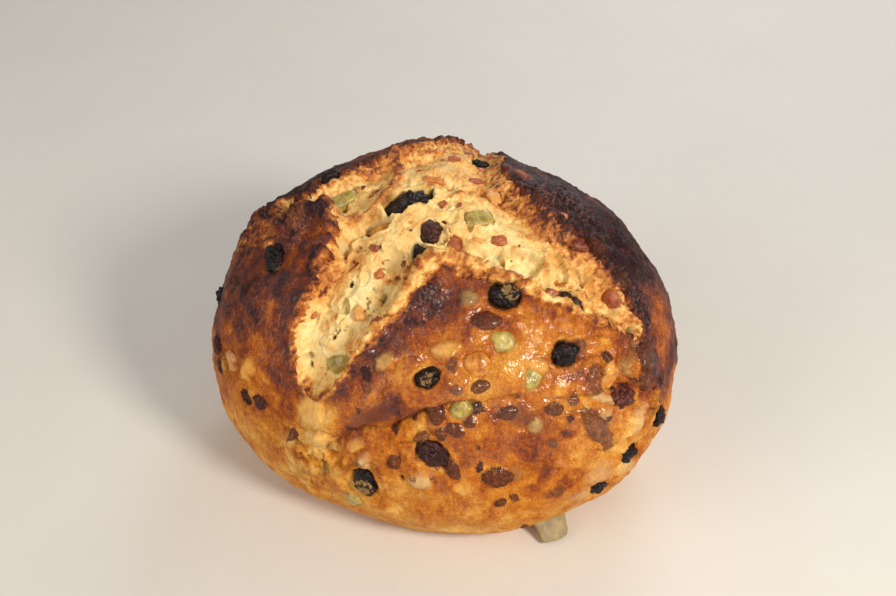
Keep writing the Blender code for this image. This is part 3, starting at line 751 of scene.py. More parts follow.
def lay_strands(places, points, inside, fine_streaks, height):
    """Raises the strands that bridge the tear; returns how toasted they are."""
    toasting = np.zeros(len(places))
    for line, half, tall, toasted in STRANDS:
        gap = curve_distance(places, smooth_curve(line, False, 6), False)
        gap = gap + 1.2 * bumps(points, 5.0, 41) + 0.5 * fine_streaks
        back = ridge(gap, 0, half) * smooth_step(inside / 2.0)
        height += tall * back
        toasting = np.maximum(toasting, toasted * back)
    return toasting


def crumb_surface(places):
    """The torn crumb's points, what its material needs at each of them, and how rough it is."""
    points, normals = place_points(places)
    across, away, looks = tear_fields(places, points)
    lip, height = shared_relief(points, across, looks)
    inside = np.maximum(-across, 0)
    beside = np.exp(-inside / 4.0)

    height += lip * np.interp(across * 5.0 / looks["slope"], CRUMB_PLACES, CRUMB_RISE)
    height -= CRUST_THICKNESS * smooth_step((across + 3.0) / 3.0) + 0.6 * smooth_step(across)
    height -= CRUMB_DEPTH * smooth_step((inside - 0.8) / looks["slope"])
    ridges, fine_streaks, edge_streaks, drawn = drawn_dough(places, points, looks, across, height)
    swelling = layered(points, 12.0, 2, 30)
    height += 1.5 * swelling + 0.25 * bumps(points, 3.0, 33)
    height += drawn * (0.60 * ridges + 0.22 * fine_streaks) + 0.45 * beside * edge_streaks
    height += 0.10 * bumps(points, 1.3, 35)
    bubble, pore = open_bubbles(places, points, inside, height)
    # painted shade in the pores, and a faint one in the open bubbles
    hollow_shade = 0.62 * pore + 0.09 * bubble
    toast_up = lay_strands(places, points, inside, fine_streaks, height)
    calm = apply_hollows(places, points, height, hollow_shade, 0.5)

    # a ragged collar round each piece of fruit, and painted shade in the gap inside it
    seat_fruit(points, normals, height)
    reach = fruit_reach(points + height[:, None] * normals, FRUIT_KINDS)
    reach += 0.22 * bumps(points, 3.0, 45) + 0.08 * bumps(points, 1.4, 44)
    height += 0.8 * ridge(reach, 1.25, 0.16) * (0.5 + 1.2 * bumps(points, 2.8, 46))
    height -= 1.4 * fall(reach, 1.08, 0.2)
    hollow_shade = np.maximum(hollow_shade, 0.75 * fall(reach, 1.10, 0.14))

    surface = points + height[:, None] * normals
    grain = np.clip(0.75 + 0.8 * bumps(surface, 1.7, 91) + 0.5 * bumps(surface, 0.9, 92), 0.1, 1.6)
    width = looks["toast_width"] * (1.0 + 0.6 * bumps(surface, 8.0, 90) + 0.3 * edge_streaks)
    toast = looks["toast"] * np.exp(-inside / np.maximum(width, 0.6)) * grain * (1.0 + 0.3 * edge_streaks)
    toast += 0.20 + 0.12 * swelling + 0.08 * drawn * (ridges - 0.4) + 0.06 * fine_streaks
    toast += 0.13 * beside * edge_streaks
    toast += patched(places, surface, CRUMB_PATCHES) * (0.7 + 0.5 * grain)
    blotch = np.clip(bumps(surface, 6.5, 95) + 0.35 * bumps(surface, 1.8, 94) - 0.36, 0, 1)
    toast += 0.9 * blotch * grain * (1.0 - calm) - 0.10 * bubble - 0.08 * calm
    toast = np.maximum(toast, toast_up * (0.7 + 0.4 * grain) + 0.05)
    rough = 0.22 + 0.60 * np.exp(-inside / 3.0) + 0.8 * toast_up
    rough += 0.40 * smooth_step(1.6 * bumps(points, 13.0, 221)) + patched(places, points, CRUMPLED) * 0.35
    rough = rough * (1.0 - 0.6 * bubble) * (1.0 - 0.8 * calm)
    points = raise_points(points, normals, height, np.zeros(len(places)), away)
    return points, {"toast": toast, "hollow_shade": hollow_shade}, rough


def make_crumb():
    """A fine closed body of crumb that fills the tear and ends under the lips of the crust."""
    low = TEAR.min(axis=0) - CRUMB_MARGIN
    high = TEAR.max(axis=0) + CRUMB_MARGIN
    counts = [int((high[i] - low[i]) / CRUMB_STEP) for i in (0, 1)]
    shape = bmesh.new()
    bmesh.ops.create_grid(shape, x_segments=counts[0], y_segments=counts[1], size=1.0)
    places = low + (np.array([v.co[:2] for v in shape.verts]) + 1) / 2 * (high - low)
    beyond = ~inside_polygon(places, TEAR) & (curve_distance(places, TEAR, True) > CRUMB_MARGIN)
    shape.verts.ensure_lookup_table()
    bmesh.ops.delete(shape, geom=[shape.verts[i] for i in np.flatnonzero(beyond)], context="VERTS")
    bmesh.ops.delete(shape, geom=[v for v in shape.verts if not v.link_faces], context="VERTS")
    places = low + (np.array([v.co[:2] for v in shape.verts]) + 1) / 2 * (high - low)
    points, fields, rough = crumb_surface(places)
    points, folds = roughen(shape, points, rough)
    fields["toast"] = fields["toast"] + (0.06 + 0.16 * rough) * folds
    # painted shade in the valleys of the crinkles
    fields["hollow_shade"] = fields["hollow_shade"] + 0.22 * rough * np.clip(-folds - 0.35, 0, 1)

    # close it underneath
    rim = [e for e in shape.edges if e.is_boundary]
    made = bmesh.ops.extrude_edge_only(shape, edges=rim)["geom"]
    core = Vector((0, 0, BELLY_HEIGHT * MM))
    for vertex in (g for g in made if isinstance(g, bmesh.types.BMVert)):
        vertex.co = core + (vertex.co - core) * CRUMB_SKIRT
    bmesh.ops.holes_fill(shape, edges=[e for e in shape.edges if e.is_boundary])
    added = len(shape.verts) - len(points)
    for name in fields:
        fields[name] = np.concatenate([np.clip(fields[name], 0, 1), np.full(added, 0.5)])
    return finish_mesh("torn_crumb", shape, fields), places, points


# ---------------------------------------------------------------- crust
def sphere_quads(count):
    """A sphere of quads made from a cube, turned so that one face's middle is the focus."""
    shape = bmesh.new()
    bmesh.ops.create_cube(shape, size=2.0)
    bmesh.ops.subdivide_edges(shape, edges=shape.edges[:], cuts=count - 1, use_grid_fill=True)
    shape.verts.ensure_lookup_table()
    corners = np.array([v.co for v in shape.verts])
    even = np.tan(corners * (math.pi / 4))
    directions = unit(even)
    turn = Vector((0, 0, 1)).rotation_difference(Vector(SKIN_FOCUS)).to_matrix()
    directions = directions @ np.array(turn).T
    return shape, directions


def gather(directions, focus, density):
    """Moves directions towards the focus, so that the mesh is finer there."""
    angle = np.arccos(np.clip(directions @ focus, -1, 1))
    side = unit(directions - (directions @ focus)[:, None] * focus)
    gathered = angle - density * np.sin(angle)
    return np.cos(gathered)[:, None] * focus + np.sin(gathered)[:, None] * side


def raise_fold(places, points, height):
    """The fold across the front, a bulge over a groove; returns how creased each place is."""
    nearest, along, side = nearest_on_curve(places, FOLD, False)
    reach = side * np.linalg.norm(places - nearest, axis=1)
    reach += 1.3 * bumps(points, 9.0, 170) + 0.5 * bumps(points, 3.5, 171)
    strength = np.sin(math.pi * np.clip(along, 0.04, 0.96)) ** 0.7
    bulge = FOLD_BULGE * ridge(reach, FOLD_WIDTH, FOLD_WIDTH)
    groove = -FOLD_GROOVE * ridge(reach, 0, FOLD_WIDTH)
    height += strength * np.where(reach > 0, bulge, groove)
    crease = strength * smooth_step((along - 0.22) / 0.16) * fall(along, 0.86, 0.3) * ridge(reach, 0, 1.1)
    height -= 1.6 * crease
    return crease


def draw_wrinkles(places, crust, height):
    """Raises long wrinkles where the crust was drawn out."""
    for *oval, tall, width in WRINKLED:
        radius = oval_radius(places, *oval)
        line, over = turned(places, 0, 0, oval[-1])
        grain = np.stack([line / 7.0, over, np.zeros(len(places))], axis=1)
        folds = 1.0 - np.abs(bumps(grain, width, 50)) * 2.0
        height += tall * folds * fall(radius, 1.15, 0.5) * crust * 0.5


def raise_lumps(places, points, crust, height, stain, glow):
    """Raises the lumps of fruit under the skin; soft ones glow through it, the others stain it."""
    wander = 0.34 * bumps(points, 4.0, 60) + 0.20 * bumps(points, 1.7, 61)
    for *oval, tall, kind, strong in LUMPS:
        soft = kind in SOFT_STAINS
        outline = oval_radius if soft else cornered_radius
        radius = outline(places, *oval) + wander * 0.5
        dome = np.sqrt(np.clip(1.0 - np.maximum(radius, 0) ** 2, 0, 1))
        height += tall * dome - 0.35 * ridge(radius, 1.08, 0.14)
        if soft:
            paint_stain(glow, kind, strong * fall(radius, 1.2, 0.8) * crust)
        else:
            paint_stain(stain, kind, (0.55 + 0.45 * strong) * fall(radius, 1.2, 0.4) * crust)


def crust_surface(places):
    """The crust's points, and what its material needs; in the tear it dives under the crumb."""
    points, normals = place_points(places)
    across, away, looks = tear_fields(places, points)
    lip, height = shared_relief(points, across, looks)
    bare = looks["bare"] * (1.0 + 0.4 * bumps(points, 6.0, 5))
    crust = smooth_step((across - bare) / 0.6 + 0.5)

    rise = np.interp(across, LIP_PLACES, LIP_RISE)
    far = across > LIP_PLACES[-1]
    rise[far] = LIP_RISE[-1] * np.exp(-(across[far] - LIP_PLACES[-1]) / LIP_WIDTH)
    height += lip * rise - (CRUMB_DEPTH + DIVE) * smooth_step((-across - 0.9) / 1.3)
    shift = -looks["hang"] * np.interp(across, LIP_PLACES, LIP_SHIFT) * (1.0 + 0.5 * bumps(points, 5.0, 12))
    height += 0.45 * smooth_step((across - bare) / 0.8) * smooth_step(bare / 2.0) * np.exp(-across / 12)
    crease = raise_fold(places, points, height)

    edge_streaks = bumps(np.stack([looks["along"] / 6.0, across, height], axis=1), 1.4, 216)
    beside = np.exp(-np.abs(across - bare * 0.5) / 5.0)
    height += (0.55 - 0.35 * crust) * beside * edge_streaks
    swelling = layered(points, 10.0, 2, 20)
    height += 0.75 * swelling + 0.20 * layered(points, 3.2, 2, 23) + 0.05 * bumps(points, 0.9, 24)
    draw_wrinkles(places, crust, height)

    stain = np.zeros((len(places), 4))
    glow = np.zeros((len(places), 4))
    raise_lumps(places, points, crust, height, stain, glow)
    front = 0.35 + 0.65 * smooth_step((-places[:, 1] - 50) / 20)
    small_stains(places, points, height, stain, front * crust * smooth_step((across - 1.5) / 1.5))
    hollow_shade = np.zeros(len(places))
    apply_hollows(places, points, height, hollow_shade, 0.15)
    raise_flaps(places, points, height, hollow_shade)
    for radius, deep, count in CRUST_DIPS:
        height -= deep * scatter_dips(places, across > 2.0, radius, count)

    # dough drawn over the rim of each piece of fruit, and painted shade in the gap just inside it round the
    # raisins
    seat_fruit(points, normals, height)
    raised = points + height[:, None] * normals
    wander = 0.16 * bumps(points, 4.0, 47) + 0.10 * bumps(points, 1.8, 49)
    gap = fruit_reach(raised, FRUIT_KINDS) + wander
    dark_gap = fruit_reach(raised, "raisin") + wander
    collar = ridge(gap, 1.26, 0.15) * np.clip(0.6 + 1.1 * bumps(points, 4.0, 48), 0, 1.4)
    height += 0.8 * collar - 1.2 * fall(gap, 1.05, 0.2)
    hollow_shade = np.maximum(hollow_shade, 0.85 * fall(dark_gap, 1.09, 0.10))

    points = raise_points(points, normals, height, shift, away)
    is_bare = smooth_step((bare + 0.9 * bumps(points, 2.2, 6) - across) / 0.6 + 0.5)
    for oval in TORN_PATCHES:
        radius = oval_radius(places, *oval) + 0.4 * bumps(points, 6.0, 63) + 0.3 * bumps(points, 2.4, 64)
        is_bare = np.maximum(is_bare, fall(radius, 1.1, 0.3))
    bake = crust_bake(places, points, across, looks, bare, edge_streaks)
    # the fold's crease is painted darker: painted shade in it
    bake += 0.08 * swelling - 0.08 * collar + 0.40 * crease
    bake += 0.4 * np.clip(bumps(points, 8.0, 141) + 0.3 * bumps(points, 2.6, 142) - 0.34, 0, 0.4)
    bake -= 0.5 * np.clip(bumps(points, 9.0, 143) + 0.3 * bumps(points, 2.6, 144) - 0.30, 0, 0.4)
    toast = 0.74 - 0.34 * smooth_step((bare - across) / 2.4) + 0.22 * edge_streaks
    toast += 0.22 * bumps(points, 3.0, 98) + 0.18 * bumps(points, 1.2, 97)
    toast += patched(places, points, CRUMB_PATCHES) - 0.12 * smooth_step((looks["bare"] - 2.0) / 3.0)
    gloss = np.zeros(len(places))
    for *oval, strong in GLOSS_PATCHES:
        radius = oval_radius(places, *oval) + 0.3 * bumps(points, 6.0, 99)
        gloss = np.maximum(gloss, strong * fall(radius, 1.25, 0.7))
    fields = {"bare": is_bare, "bake": bake, "toast": toast, "hollow_shade": hollow_shade, "gloss": gloss * crust}
    rough = 0.24 + patched(places, points, CRUMPLED) + 0.5 * is_bare
    rough += 0.40 * np.exp(-np.maximum(across - bare, 0) / 3.0)
    return points, fields, {"stain": stain, "glow": glow}, rough


def raise_flaps(places, points, height, hollow_shade):
    """Free edges of skin: each drops sharply on one side of its line and fades away on the other."""
    wander = 0.5 * bumps(points, 4.0, 160) + 0.25 * bumps(points, 1.8, 161)
    for line, width, tall in FLAPS:
        nearest, along, side = nearest_on_curve(places, smooth_curve(line, False, 6), False)
        across = side * np.linalg.norm(places - nearest, axis=1) + wander
        strength = np.sin(math.pi * np.clip(along, 0.02, 0.98)) ** 0.6
        height += tall * strength * smooth_step(across / 0.7 + 0.5) * np.exp(-np.maximum(across, 0) / width)
        # a painted shadow under each free edge
        under = ridge(across, -0.5, 0.6) * strength
        height -= 0.5 * under
        hollow_shade[:] = np.maximum(hollow_shade, 0.42 * under)


def paint_stain(stain, kind, mark):
    """Colours the places where this mark is stronger than what is there."""
    over = mark > stain[:, 3]
    stain[over, :3] = STAINS[kind]
    stain[over, 3] = mark[over]


def small_stains(places, points, height, stain, wanted):
    """Shreds of fruit just under the crust, one in some of the cells of two sizes."""
    warp = np.stack([bumps(points, 3.5, 150), bumps(points, 3.5, 151)], axis=1)
    wanted = wanted * smooth_step((points[:, 2] - 30) / 22)
    for size, share, seed in SHREDS:
        first, _, kind = cells((places + 1.5 * warp) / size, seed)
        radius = first / (0.17 + 0.13 * kind) + 0.45 * bumps(points, 1.8, 152)
        mark = 0.85 * fall(radius, 1.25, 0.5) * (kind > share) * wanted
        height += 0.7 * mark
        for index, name in enumerate(SMALL_STAINS):
            mine = np.floor((kind - share) / (1 - share) * len(SMALL_STAINS)) == index
            paint_stain(stain, name, mark * mine)


def scatter_dips(places, wanted, radius, count):
    """Round dips of one size at random among the wanted places."""
    dips = np.zeros(len(places))
    centres = places[rng.choice(np.flatnonzero(wanted), size=count)]
    order = np.argsort(places[:, 0])
    sorted_u = places[order, 0]
    for centre in centres:
        size = radius * rng.uniform(0.6, 1.3)
        stretch = rng.uniform(0.6, 1.0)
        turn = rng.uniform(0, 180)
        low, high = np.searchsorted(sorted_u, (centre[0] - size, centre[0] + size))
        near = order[low:high]
        spread = oval_radius(places[near], *centre, size, size * stretch, turn)
        dips[near] = np.maximum(dips[near], fall(spread, 1.0, 0.7))
    return dips


def crust_bake(places, points, across, looks, bare, edge_streaks):
    """How dark the crust is, from 0, pale dough, to 1, charred."""
    bake = 0.265 + 0.25 * smooth_step(points[:, 2] / 62.0)
    left = smooth_step((-places[:, 0] - 28) / 16) * smooth_step((points[:, 2] - 38) / 34)
    right = smooth_step((places[:, 0] * 0.83 + places[:, 1] * 0.56 - 44) / 12)
    right *= smooth_step((points[:, 2] - 34) / 34)
    behind = smooth_step((places[:, 1] - 20) / 20) * smooth_step((points[:, 2] - 40) / 40)
    bake += 0.24 * left + np.maximum(0.38 * right, 0.20 * behind)
    bake += patched(places, points, BAKE_PATCHES)
    bake += 0.12 * layered(points, 18.0, 2, 80) + 0.08 * layered(points, 6.0, 2, 84)
    bake += 0.05 * edge_streaks * np.exp(-np.maximum(across, 0) / 14)
    char = ridge(across - np.maximum(bare, 0), 1.0, 2.4)
    return bake + looks["char"] * char * (0.8 + 0.9 * bumps(points, 7.0, 88))


def make_crust():
    """A closed sphere of crust, finest at the front and beside the tear."""
    shape, directions = sphere_quads(SKIN_GRID)
    directions = gather(directions, SKIN_FOCUS, SKIN_DENSITY)
    places = direction_to_map(directions)

    # draw the vertices closer together beside the tear's edge
    nearest, _, _ = nearest_on_curve(places, TEAR, True)
    away = places - nearest
    distance = np.linalg.norm(away, axis=1)
    close = distance < EDGE_REACH
    pulled = distance[close] * (0.5 + 0.5 * distance[close] / EDGE_REACH)
    places[close] = nearest[close] + away[close] * (pulled / np.maximum(distance[close], 1e-9))[:, None]

    points, fields, colours, rough = crust_surface(places)
    rough *= smooth_step(points[:, 2] / FOOT_FADE)
    points, folds = roughen(shape, points, rough)
    high = smooth_step((points[:, 2] - 45) / 35)
    fields["bake"] = fields["bake"] + (0.22 * high - 0.14) * rough * folds
    fields["toast"] = fields["toast"] + 0.16 * rough * folds
    # painted shade in the valleys of the crinkles, high on the loaf
    fields["hollow_shade"] = fields["hollow_shade"] + 0.10 * high * rough * np.clip(-folds - 0.30, 0, 1)
    fields = {name: np.clip(values, 0, 1) for name, values in fields.items()}
    made = finish_mesh("loaf_crust", shape, fields)
    for name, colour in colours.items():
        layer = made.data.attributes.new(name, "FLOAT_COLOR", "POINT")
        layer.data.foreach_set("color", colour.astype(np.float32).ravel())
    return made


# ---------------------------------------------------------------- nuts and bits of fruit
def chip_shape(length, width, tall, seed):
    """An angular chip: a small sphere pressed towards a box, with uneven sides."""
    shape = bmesh.new()
    bmesh.ops.create_icosphere(shape, subdivisions=3, radius=1.0)
    ball = np.array([v.co for v in shape.verts])
    ball = ball / np.maximum(np.abs(ball).max(axis=1), 1e-9)[:, None] * 0.6 + ball * 0.4
    ball *= (1.0 + 0.34 * bumps(ball, 0.9, seed) + 0.12 * bumps(ball, 0.4, seed + 1))[:, None]
    return shape, ball * np.array((length, width, tall)) / 2


def make_bits(places, points):
    """One mesh of all the small chips, half sunk in the surface of these places and points."""
    joined = bmesh.new()
    tones = []
    normals = body_normals(map_to_direction(places))
    for index, (u, v, length, width, turn, tone) in enumerate(BITS + scattered_bits()):
        nearest = np.argmin(((places - (u, v)) ** 2).sum(axis=1))
        out = Vector(normals[nearest])
        right = Vector(RIGHT_AXIS)
        right = (right - out * right.dot(out)).normalized()
        axes = Matrix((right, out.cross(right), out)).transposed()
        spin = Matrix.Rotation(math.radians(turn), 3, "Z")
        spin = spin @ Matrix.Rotation(0.3 * math.sin(index * 2.1), 3, "X")
        shape, chip = chip_shape(length, width, min(width * 0.8, 2.6), index)
        chip = chip @ np.array(axes @ spin).T + points[nearest] + np.array(out) * BIT_RISE * width
        move_points(shape, chip)
        mesh = bpy.data.meshes.new("chip")
        shape.to_mesh(mesh)
        shape.free()
        joined.from_mesh(mesh)
        bpy.data.meshes.remove(mesh)
        tones.append(np.full(len(chip), tone))
    return finish_mesh("almond_bits", joined, {"tone": np.concatenate(tones)})


def scattered_bits():
    """Small chips at random in the crumb, on top of the placed ones."""
    draw = np.random.default_rng(SEED + 1)
    low, high = TEAR.min(axis=0), TEAR.max(axis=0)
    spots = draw.uniform(low, high, size=(400, 2))
    deep = inside_polygon(spots, TEAR) & (curve_distance(spots, TEAR, True) > 2.5)
    made = []
    for u, v in spots[deep][:SCATTERED_BITS]:
        length = draw.uniform(0.8, 2.2)
        width = length * draw.uniform(0.55, 0.9)
        made.append((u, v, length, width, draw.uniform(0, 180), draw.uniform(0.2, 1)))
    return made


def add_object(name, data):
    made = bpy.data.objects.new(name, data)
    bpy.context.scene.collection.objects.link(made)
    return made


def add_fields(mesh, fields):
    """Stores one number for each vertex and field, for the materials."""
    for field, values in fields.items():
        mesh.attributes.new(field, "FLOAT", "POINT").data.foreach_set("value", values.astype(np.float32))


def finish_mesh(name, shape, fields):
    """Makes a smooth object of a bmesh, with one attribute for each field."""
    mesh = bpy.data.meshes.new(name)
    shape.to_mesh(mesh)
    shape.free()
    add_fields(mesh, fields)
    mesh.shade_smooth()
    return add_object(name, mesh)


# ---------------------------------------------------------------- materials
def srgb(red, green, blue):
    """A colour of 0 to 255 on screen as the linear colour that shaders take."""
    linear = [((c / 255 + 0.055) / 1.055) ** 2.4 if c > 10 else c / 255 / 12.92 for c in (red, green, blue)]
    return (*linear, 1.0)


CRUST_TONES = [
    (0.00, (236, 196, 122)), (0.14, (228, 174, 86)), (0.30, (212, 144, 52)), (0.45, (192, 112, 30)),
    (0.60, (162, 82, 20)), (0.72, (128, 58, 26)), (0.84, (96, 48, 38)), (0.93, (68, 34, 31)),
    (1.00, (44, 25, 26)),
]
CRUMB_TONES = [
    (0.00, (255, 234, 176)), (0.20, (252, 217, 144)), (0.40, (236, 180, 100)), (0.58, (206, 134, 64)),
    (0.76, (160, 88, 44)), (0.90, (108, 54, 36)), (1.00, (64, 34, 30)),
]
# painted shade: olive in shallow hollows of the crumb, umber in those of the crust, the shade tone in deep
# ones
OLIVE_SHADE_TONE = (158, 142, 88)
UMBER_SHADE_TONE = (112, 66, 34)
SHADE_TONE = (40, 25, 18)
# pale streaks on dark crust: partly flour dust, partly a painted sheen
DUST_AND_SHEEN_TONE = (196, 158, 146)
# the painted shade in the creases of fruit under the skin
CREASE_SHADE_TONE = (42, 17, 14)
SUGAR_TONE = (240, 214, 150)
BIT_TONES = [
    (0.00, (240, 186, 104)), (0.35, (220, 140, 66)), (0.60, (182, 98, 50)), (0.80, (140, 66, 42)),
    (1.00, (60, 30, 26)),
]


class Nodes:
    """A short way of writing a material's node tree."""

    def __init__(self, name):
        self.material = bpy.data.materials.new(name)
        self.material.use_nodes = True
        self.tree = self.material.node_tree
        self.shader = self.tree.nodes["Principled BSDF"]
        self.place = self.add("ShaderNodeTexCoord").outputs["Object"]

    def add(self, kind, inputs=None, **settings):
        node = self.tree.nodes.new(kind)
        for key, value in settings.items():
            setattr(node, key, value)
        for key, value in (inputs or {}).items():
            self.set(node.inputs[key], value)
        return node

    def set(self, socket, value):
        if isinstance(value, bpy.types.NodeSocket):
            self.tree.links.new(value, socket)
        else:
            socket.default_value = value

    def math(self, operation, first, second=0.0):
        return self.add("ShaderNodeMath", {0: first, 1: second}, operation=operation).outputs[0]

    def noise(self, size_mm, detail=2.0, rough=0.5, place=None):
        inputs = {"Vector": place or self.place, "Scale": 1 / (size_mm * MM)}
        inputs.update({"Detail": detail, "Roughness": rough})
        return self.add("ShaderNodeTexNoise", inputs).outputs["Fac"]

    def grain(self, share, size_mm, detail=2.0, rough=0.5, place=None):
        """Noise from -share to share."""
        return self.scale(self.noise(size_mm, detail, rough, place), 0.3, 0.7, -share, share)

    def cells(self, size_mm):
        inputs = {"Vector": self.place, "Scale": 1 / (size_mm * MM)}
        return self.add("ShaderNodeTexVoronoi", inputs, feature="SMOOTH_F1").outputs["Distance"]

    def ramp(self, value, tones):
        node = self.add("ShaderNodeValToRGB", {0: value})
        band = node.color_ramp
        while len(band.elements) < len(tones):
            band.elements.new(0.5)
        for element, (position, tone) in zip(band.elements, tones):
            element.position = position
            element.color = srgb(*tone)
        return node.outputs["Color"]

    def scale(self, value, low, high, to_low=0.0, to_high=1.0):
        inputs = {"Value": value, "From Min": low, "From Max": high, "To Min": to_low, "To Max": to_high}
        return self.add("ShaderNodeMapRange", inputs, clamp=True).outputs["Result"]

    def mix(self, share, first, second):
        node = self.add("ShaderNodeMix", data_type="RGBA")
        self.set(node.inputs["Factor"], share)
        self.set(node.inputs["A"], first)
        self.set(node.inputs["B"], second)
        return node.outputs["Result"]

    def field(self, name):
        return self.add("ShaderNodeAttribute", attribute_name=name)

    def bump(self, height, depth_mm, strength=1.0, normal=None):
        inputs = {"Height": height, "Distance": depth_mm * MM, "Strength": strength}
        if normal:
            inputs["Normal"] = normal
        return self.add("ShaderNodeBump", inputs).outputs["Normal"]

    def finish(self, **inputs):
        """Sets the shader's sockets, named as in base_color for Base Color, and returns the material."""
        for key, value in inputs.items():
            self.set(self.shader.inputs[key.replace("_", " ").title().replace("Ior", "IOR")], value)
        return self.material


def crumb_tone(m):
    """The colour of torn dough, from how toasted it is."""
    toast = m.field("toast").outputs["Fac"]
    for size, share in ((2.4, 0.10), (0.9, 0.08), (0.45, 0.05)):
        toast = m.math("ADD", toast, m.grain(share, size, 3.0))
    return m.ramp(toast, CRUMB_TONES)


def shade_hollows(m, tone, shallow, deep):
    """Paints shade into the hollows: shallow ones take one shade tone, deep ones a darker one."""
    hollow_shade = m.field("hollow_shade").outputs["Fac"]
    tone = m.mix(m.scale(hollow_shade, 0.05, 0.45, 0.0, 0.55), tone, srgb(*shallow))
    return m.mix(m.scale(hollow_shade, 0.40, 1.00), tone, srgb(*deep))


def crumb_material():
    m = Nodes("torn_crumb")
    # painted shade in the crumb's hollows, pores, valleys and gaps round fruit
    tone = shade_hollows(m, crumb_tone(m), OLIVE_SHADE_TONE, SHADE_TONE)
    normal = m.bump(m.noise(2.0, 4.0, 0.6), 0.40)
    normal = m.bump(m.noise(0.8, 3.0, 0.6), 0.20, 1.0, normal)
    return m.finish(base_color=tone, roughness=m.scale(m.noise(3.0), 0.3, 0.7, 0.42, 0.62), normal=normal,
                    specular_ior_level=0.35, subsurface_weight=0.25, subsurface_scale=1.2 * MM,
                    subsurface_radius=(1.0, 0.55, 0.25))


def crust_material():
    """Baked skin: bake gives its colour, glow and stain what lies under it, bare where dough shows."""
    m = Nodes("baked_crust")
    bare = m.field("bare").outputs["Fac"]
    stain = m.field("stain")
    glow = m.field("glow")
    gloss = m.field("gloss").outputs["Fac"]
    bake = m.field("bake").outputs["Fac"]
    drawn = m.add("ShaderNodeMapping", {"Vector": m.place, "Scale": (1.0, 1.0, 0.3)}).outputs["Vector"]
    for size, share in ((6.0, 0.07), (1.8, 0.05), (0.7, 0.06)):
        bake = m.math("ADD", bake, m.grain(share, size))
    bake = m.math("ADD", bake, m.grain(0.06, 1.6, 4.0, 0.65, drawn))
    blisters = m.cells(0.9)
    bake = m.math("SUBTRACT", bake, m.scale(blisters, 0.10, 0.40, 0.09, -0.04))
    bake = m.math("SUBTRACT", bake, m.scale(m.noise(0.9, 1.0), 0.66, 0.74, 0.0, 0.20))
    tone = m.ramp(bake, CRUST_TONES)
    streaked = m.scale(m.noise(1.1, 3.0, 0.6, drawn), 0.50, 0.68)
    # pale streaks on the dark crust away from the glaze: partly flour dust, partly painted sheen along its
    # wrinkles
    dust_and_sheen = m.math("MULTIPLY", streaked, m.scale(m.noise(22.0, 2.0), 0.38, 0.60, 0.0, 0.28))
    tone = m.mix(m.math("MULTIPLY", dust_and_sheen, m.scale(gloss, 0.1, 0.6, 1.0, 0.0)), tone, srgb(*DUST_AND_SHEEN_TONE))
    veined = m.scale(m.noise(1.8, 4.0, 0.6), 0.35, 0.7, 1.0, 0.60)
    tone = m.mix(m.math("MULTIPLY", glow.outputs["Alpha"], veined), tone, glow.outputs["Color"])
    shred = m.math("ADD", stain.outputs["Alpha"], m.grain(0.22, 1.2, 4.0, 0.6))
    # dark lines in the creases of the fruit under the skin: painted shade, with a bump along the same creases
    creased = m.math("ABSOLUTE", m.math("SUBTRACT", m.noise(2.4, 3.0, 0.6), 0.5))
    stain_with_crease_shade = m.mix(m.scale(creased, 0.0, 0.07, 0.62, 0.0), stain.outputs["Color"], srgb(*CREASE_SHADE_TONE))
    stain_with_crease_shade = m.mix(m.scale(m.noise(1.4, 3.0), 0.52, 0.72, 0.0, 0.55), stain_with_crease_shade, tone)
    tone = m.mix(m.scale(shred, 0.40, 0.62, 0.0, 0.92), tone, stain_with_crease_shade)
    # painted shade in the crust's hollows, crinkle valleys, gaps round raisins and under its flaps
    tone = shade_hollows(m, m.mix(bare, tone, crumb_tone(m)), UMBER_SHADE_TONE, SHADE_TONE)

    normal = m.bump(m.noise(3.0, 3.0), 0.22)
    normal = m.bump(m.noise(1.3, 3.0, 0.6, drawn), 0.16, 1.0, normal)
    normal = m.bump(blisters, 0.42, m.scale(gloss, 0.0, 1.0, 0.25, 1.0), normal)
    normal = m.bump(m.noise(0.5, 2.0, 0.6), 0.10, 1.0, normal)
    normal = m.bump(m.scale(creased, 0.0, 0.12), 0.35, m.scale(stain.outputs["Alpha"], 0.4, 0.7), normal)
    shine = m.bump(blisters, 0.16, 1.0, m.bump(m.noise(1.8, 3.0, 0.6), 0.20))
    dull = m.scale(m.noise(9.0, 3.0), 0.35, 0.65, 0.46, 0.62)
    roughness = m.math("SUBTRACT", dull, m.math("MULTIPLY", gloss, 0.12))
    washed = m.math("MULTIPLY", gloss, m.scale(m.noise(7.0), 0.35, 0.6, 0.35, 1.0))
    return m.finish(base_color=tone, roughness=roughness, normal=normal, specular_ior_level=0.16,
                    coat_weight=m.scale(washed, 0.0, 1.0, 0.0, 0.90), coat_roughness=0.055, coat_normal=shine)


def raisin_material():
    """Wrinkled dark fruit: brown says how red it is, veil where thin baked dough covers it."""
    m = Nodes("raisin")
    folds = m.noise(1.1, 3.0, 0.6)
    black = m.mix(m.scale(folds, 0.45, 0.72), srgb(8, 6, 8), srgb(36, 25, 23))
    red = m.mix(m.scale(folds, 0.35, 0.65), srgb(52, 18, 17), srgb(120, 54, 40))
    tone = m.mix(m.field("brown").outputs["Fac"], black, red)
    veil = m.field("veil").outputs["Fac"]
    cover = m.math("ADD", veil, m.scale(m.noise(1.5, 3.0, 0.6), 0.35, 0.65, -0.28, 0.22))
    film = m.mix(m.noise(1.0), srgb(170, 130, 74), srgb(104, 78, 46))
    tone = m.mix(m.scale(cover, 0.46, 0.60), tone, film)
    normal = m.bump(m.noise(0.9, 3.0), 0.46)
    return m.finish(base_color=tone, roughness=m.scale(folds, 0.3, 0.7, 0.44, 0.64), normal=normal,
                    specular_ior_level=0.18, coat_weight=0.28, coat_roughness=0.08, coat_normal=normal)


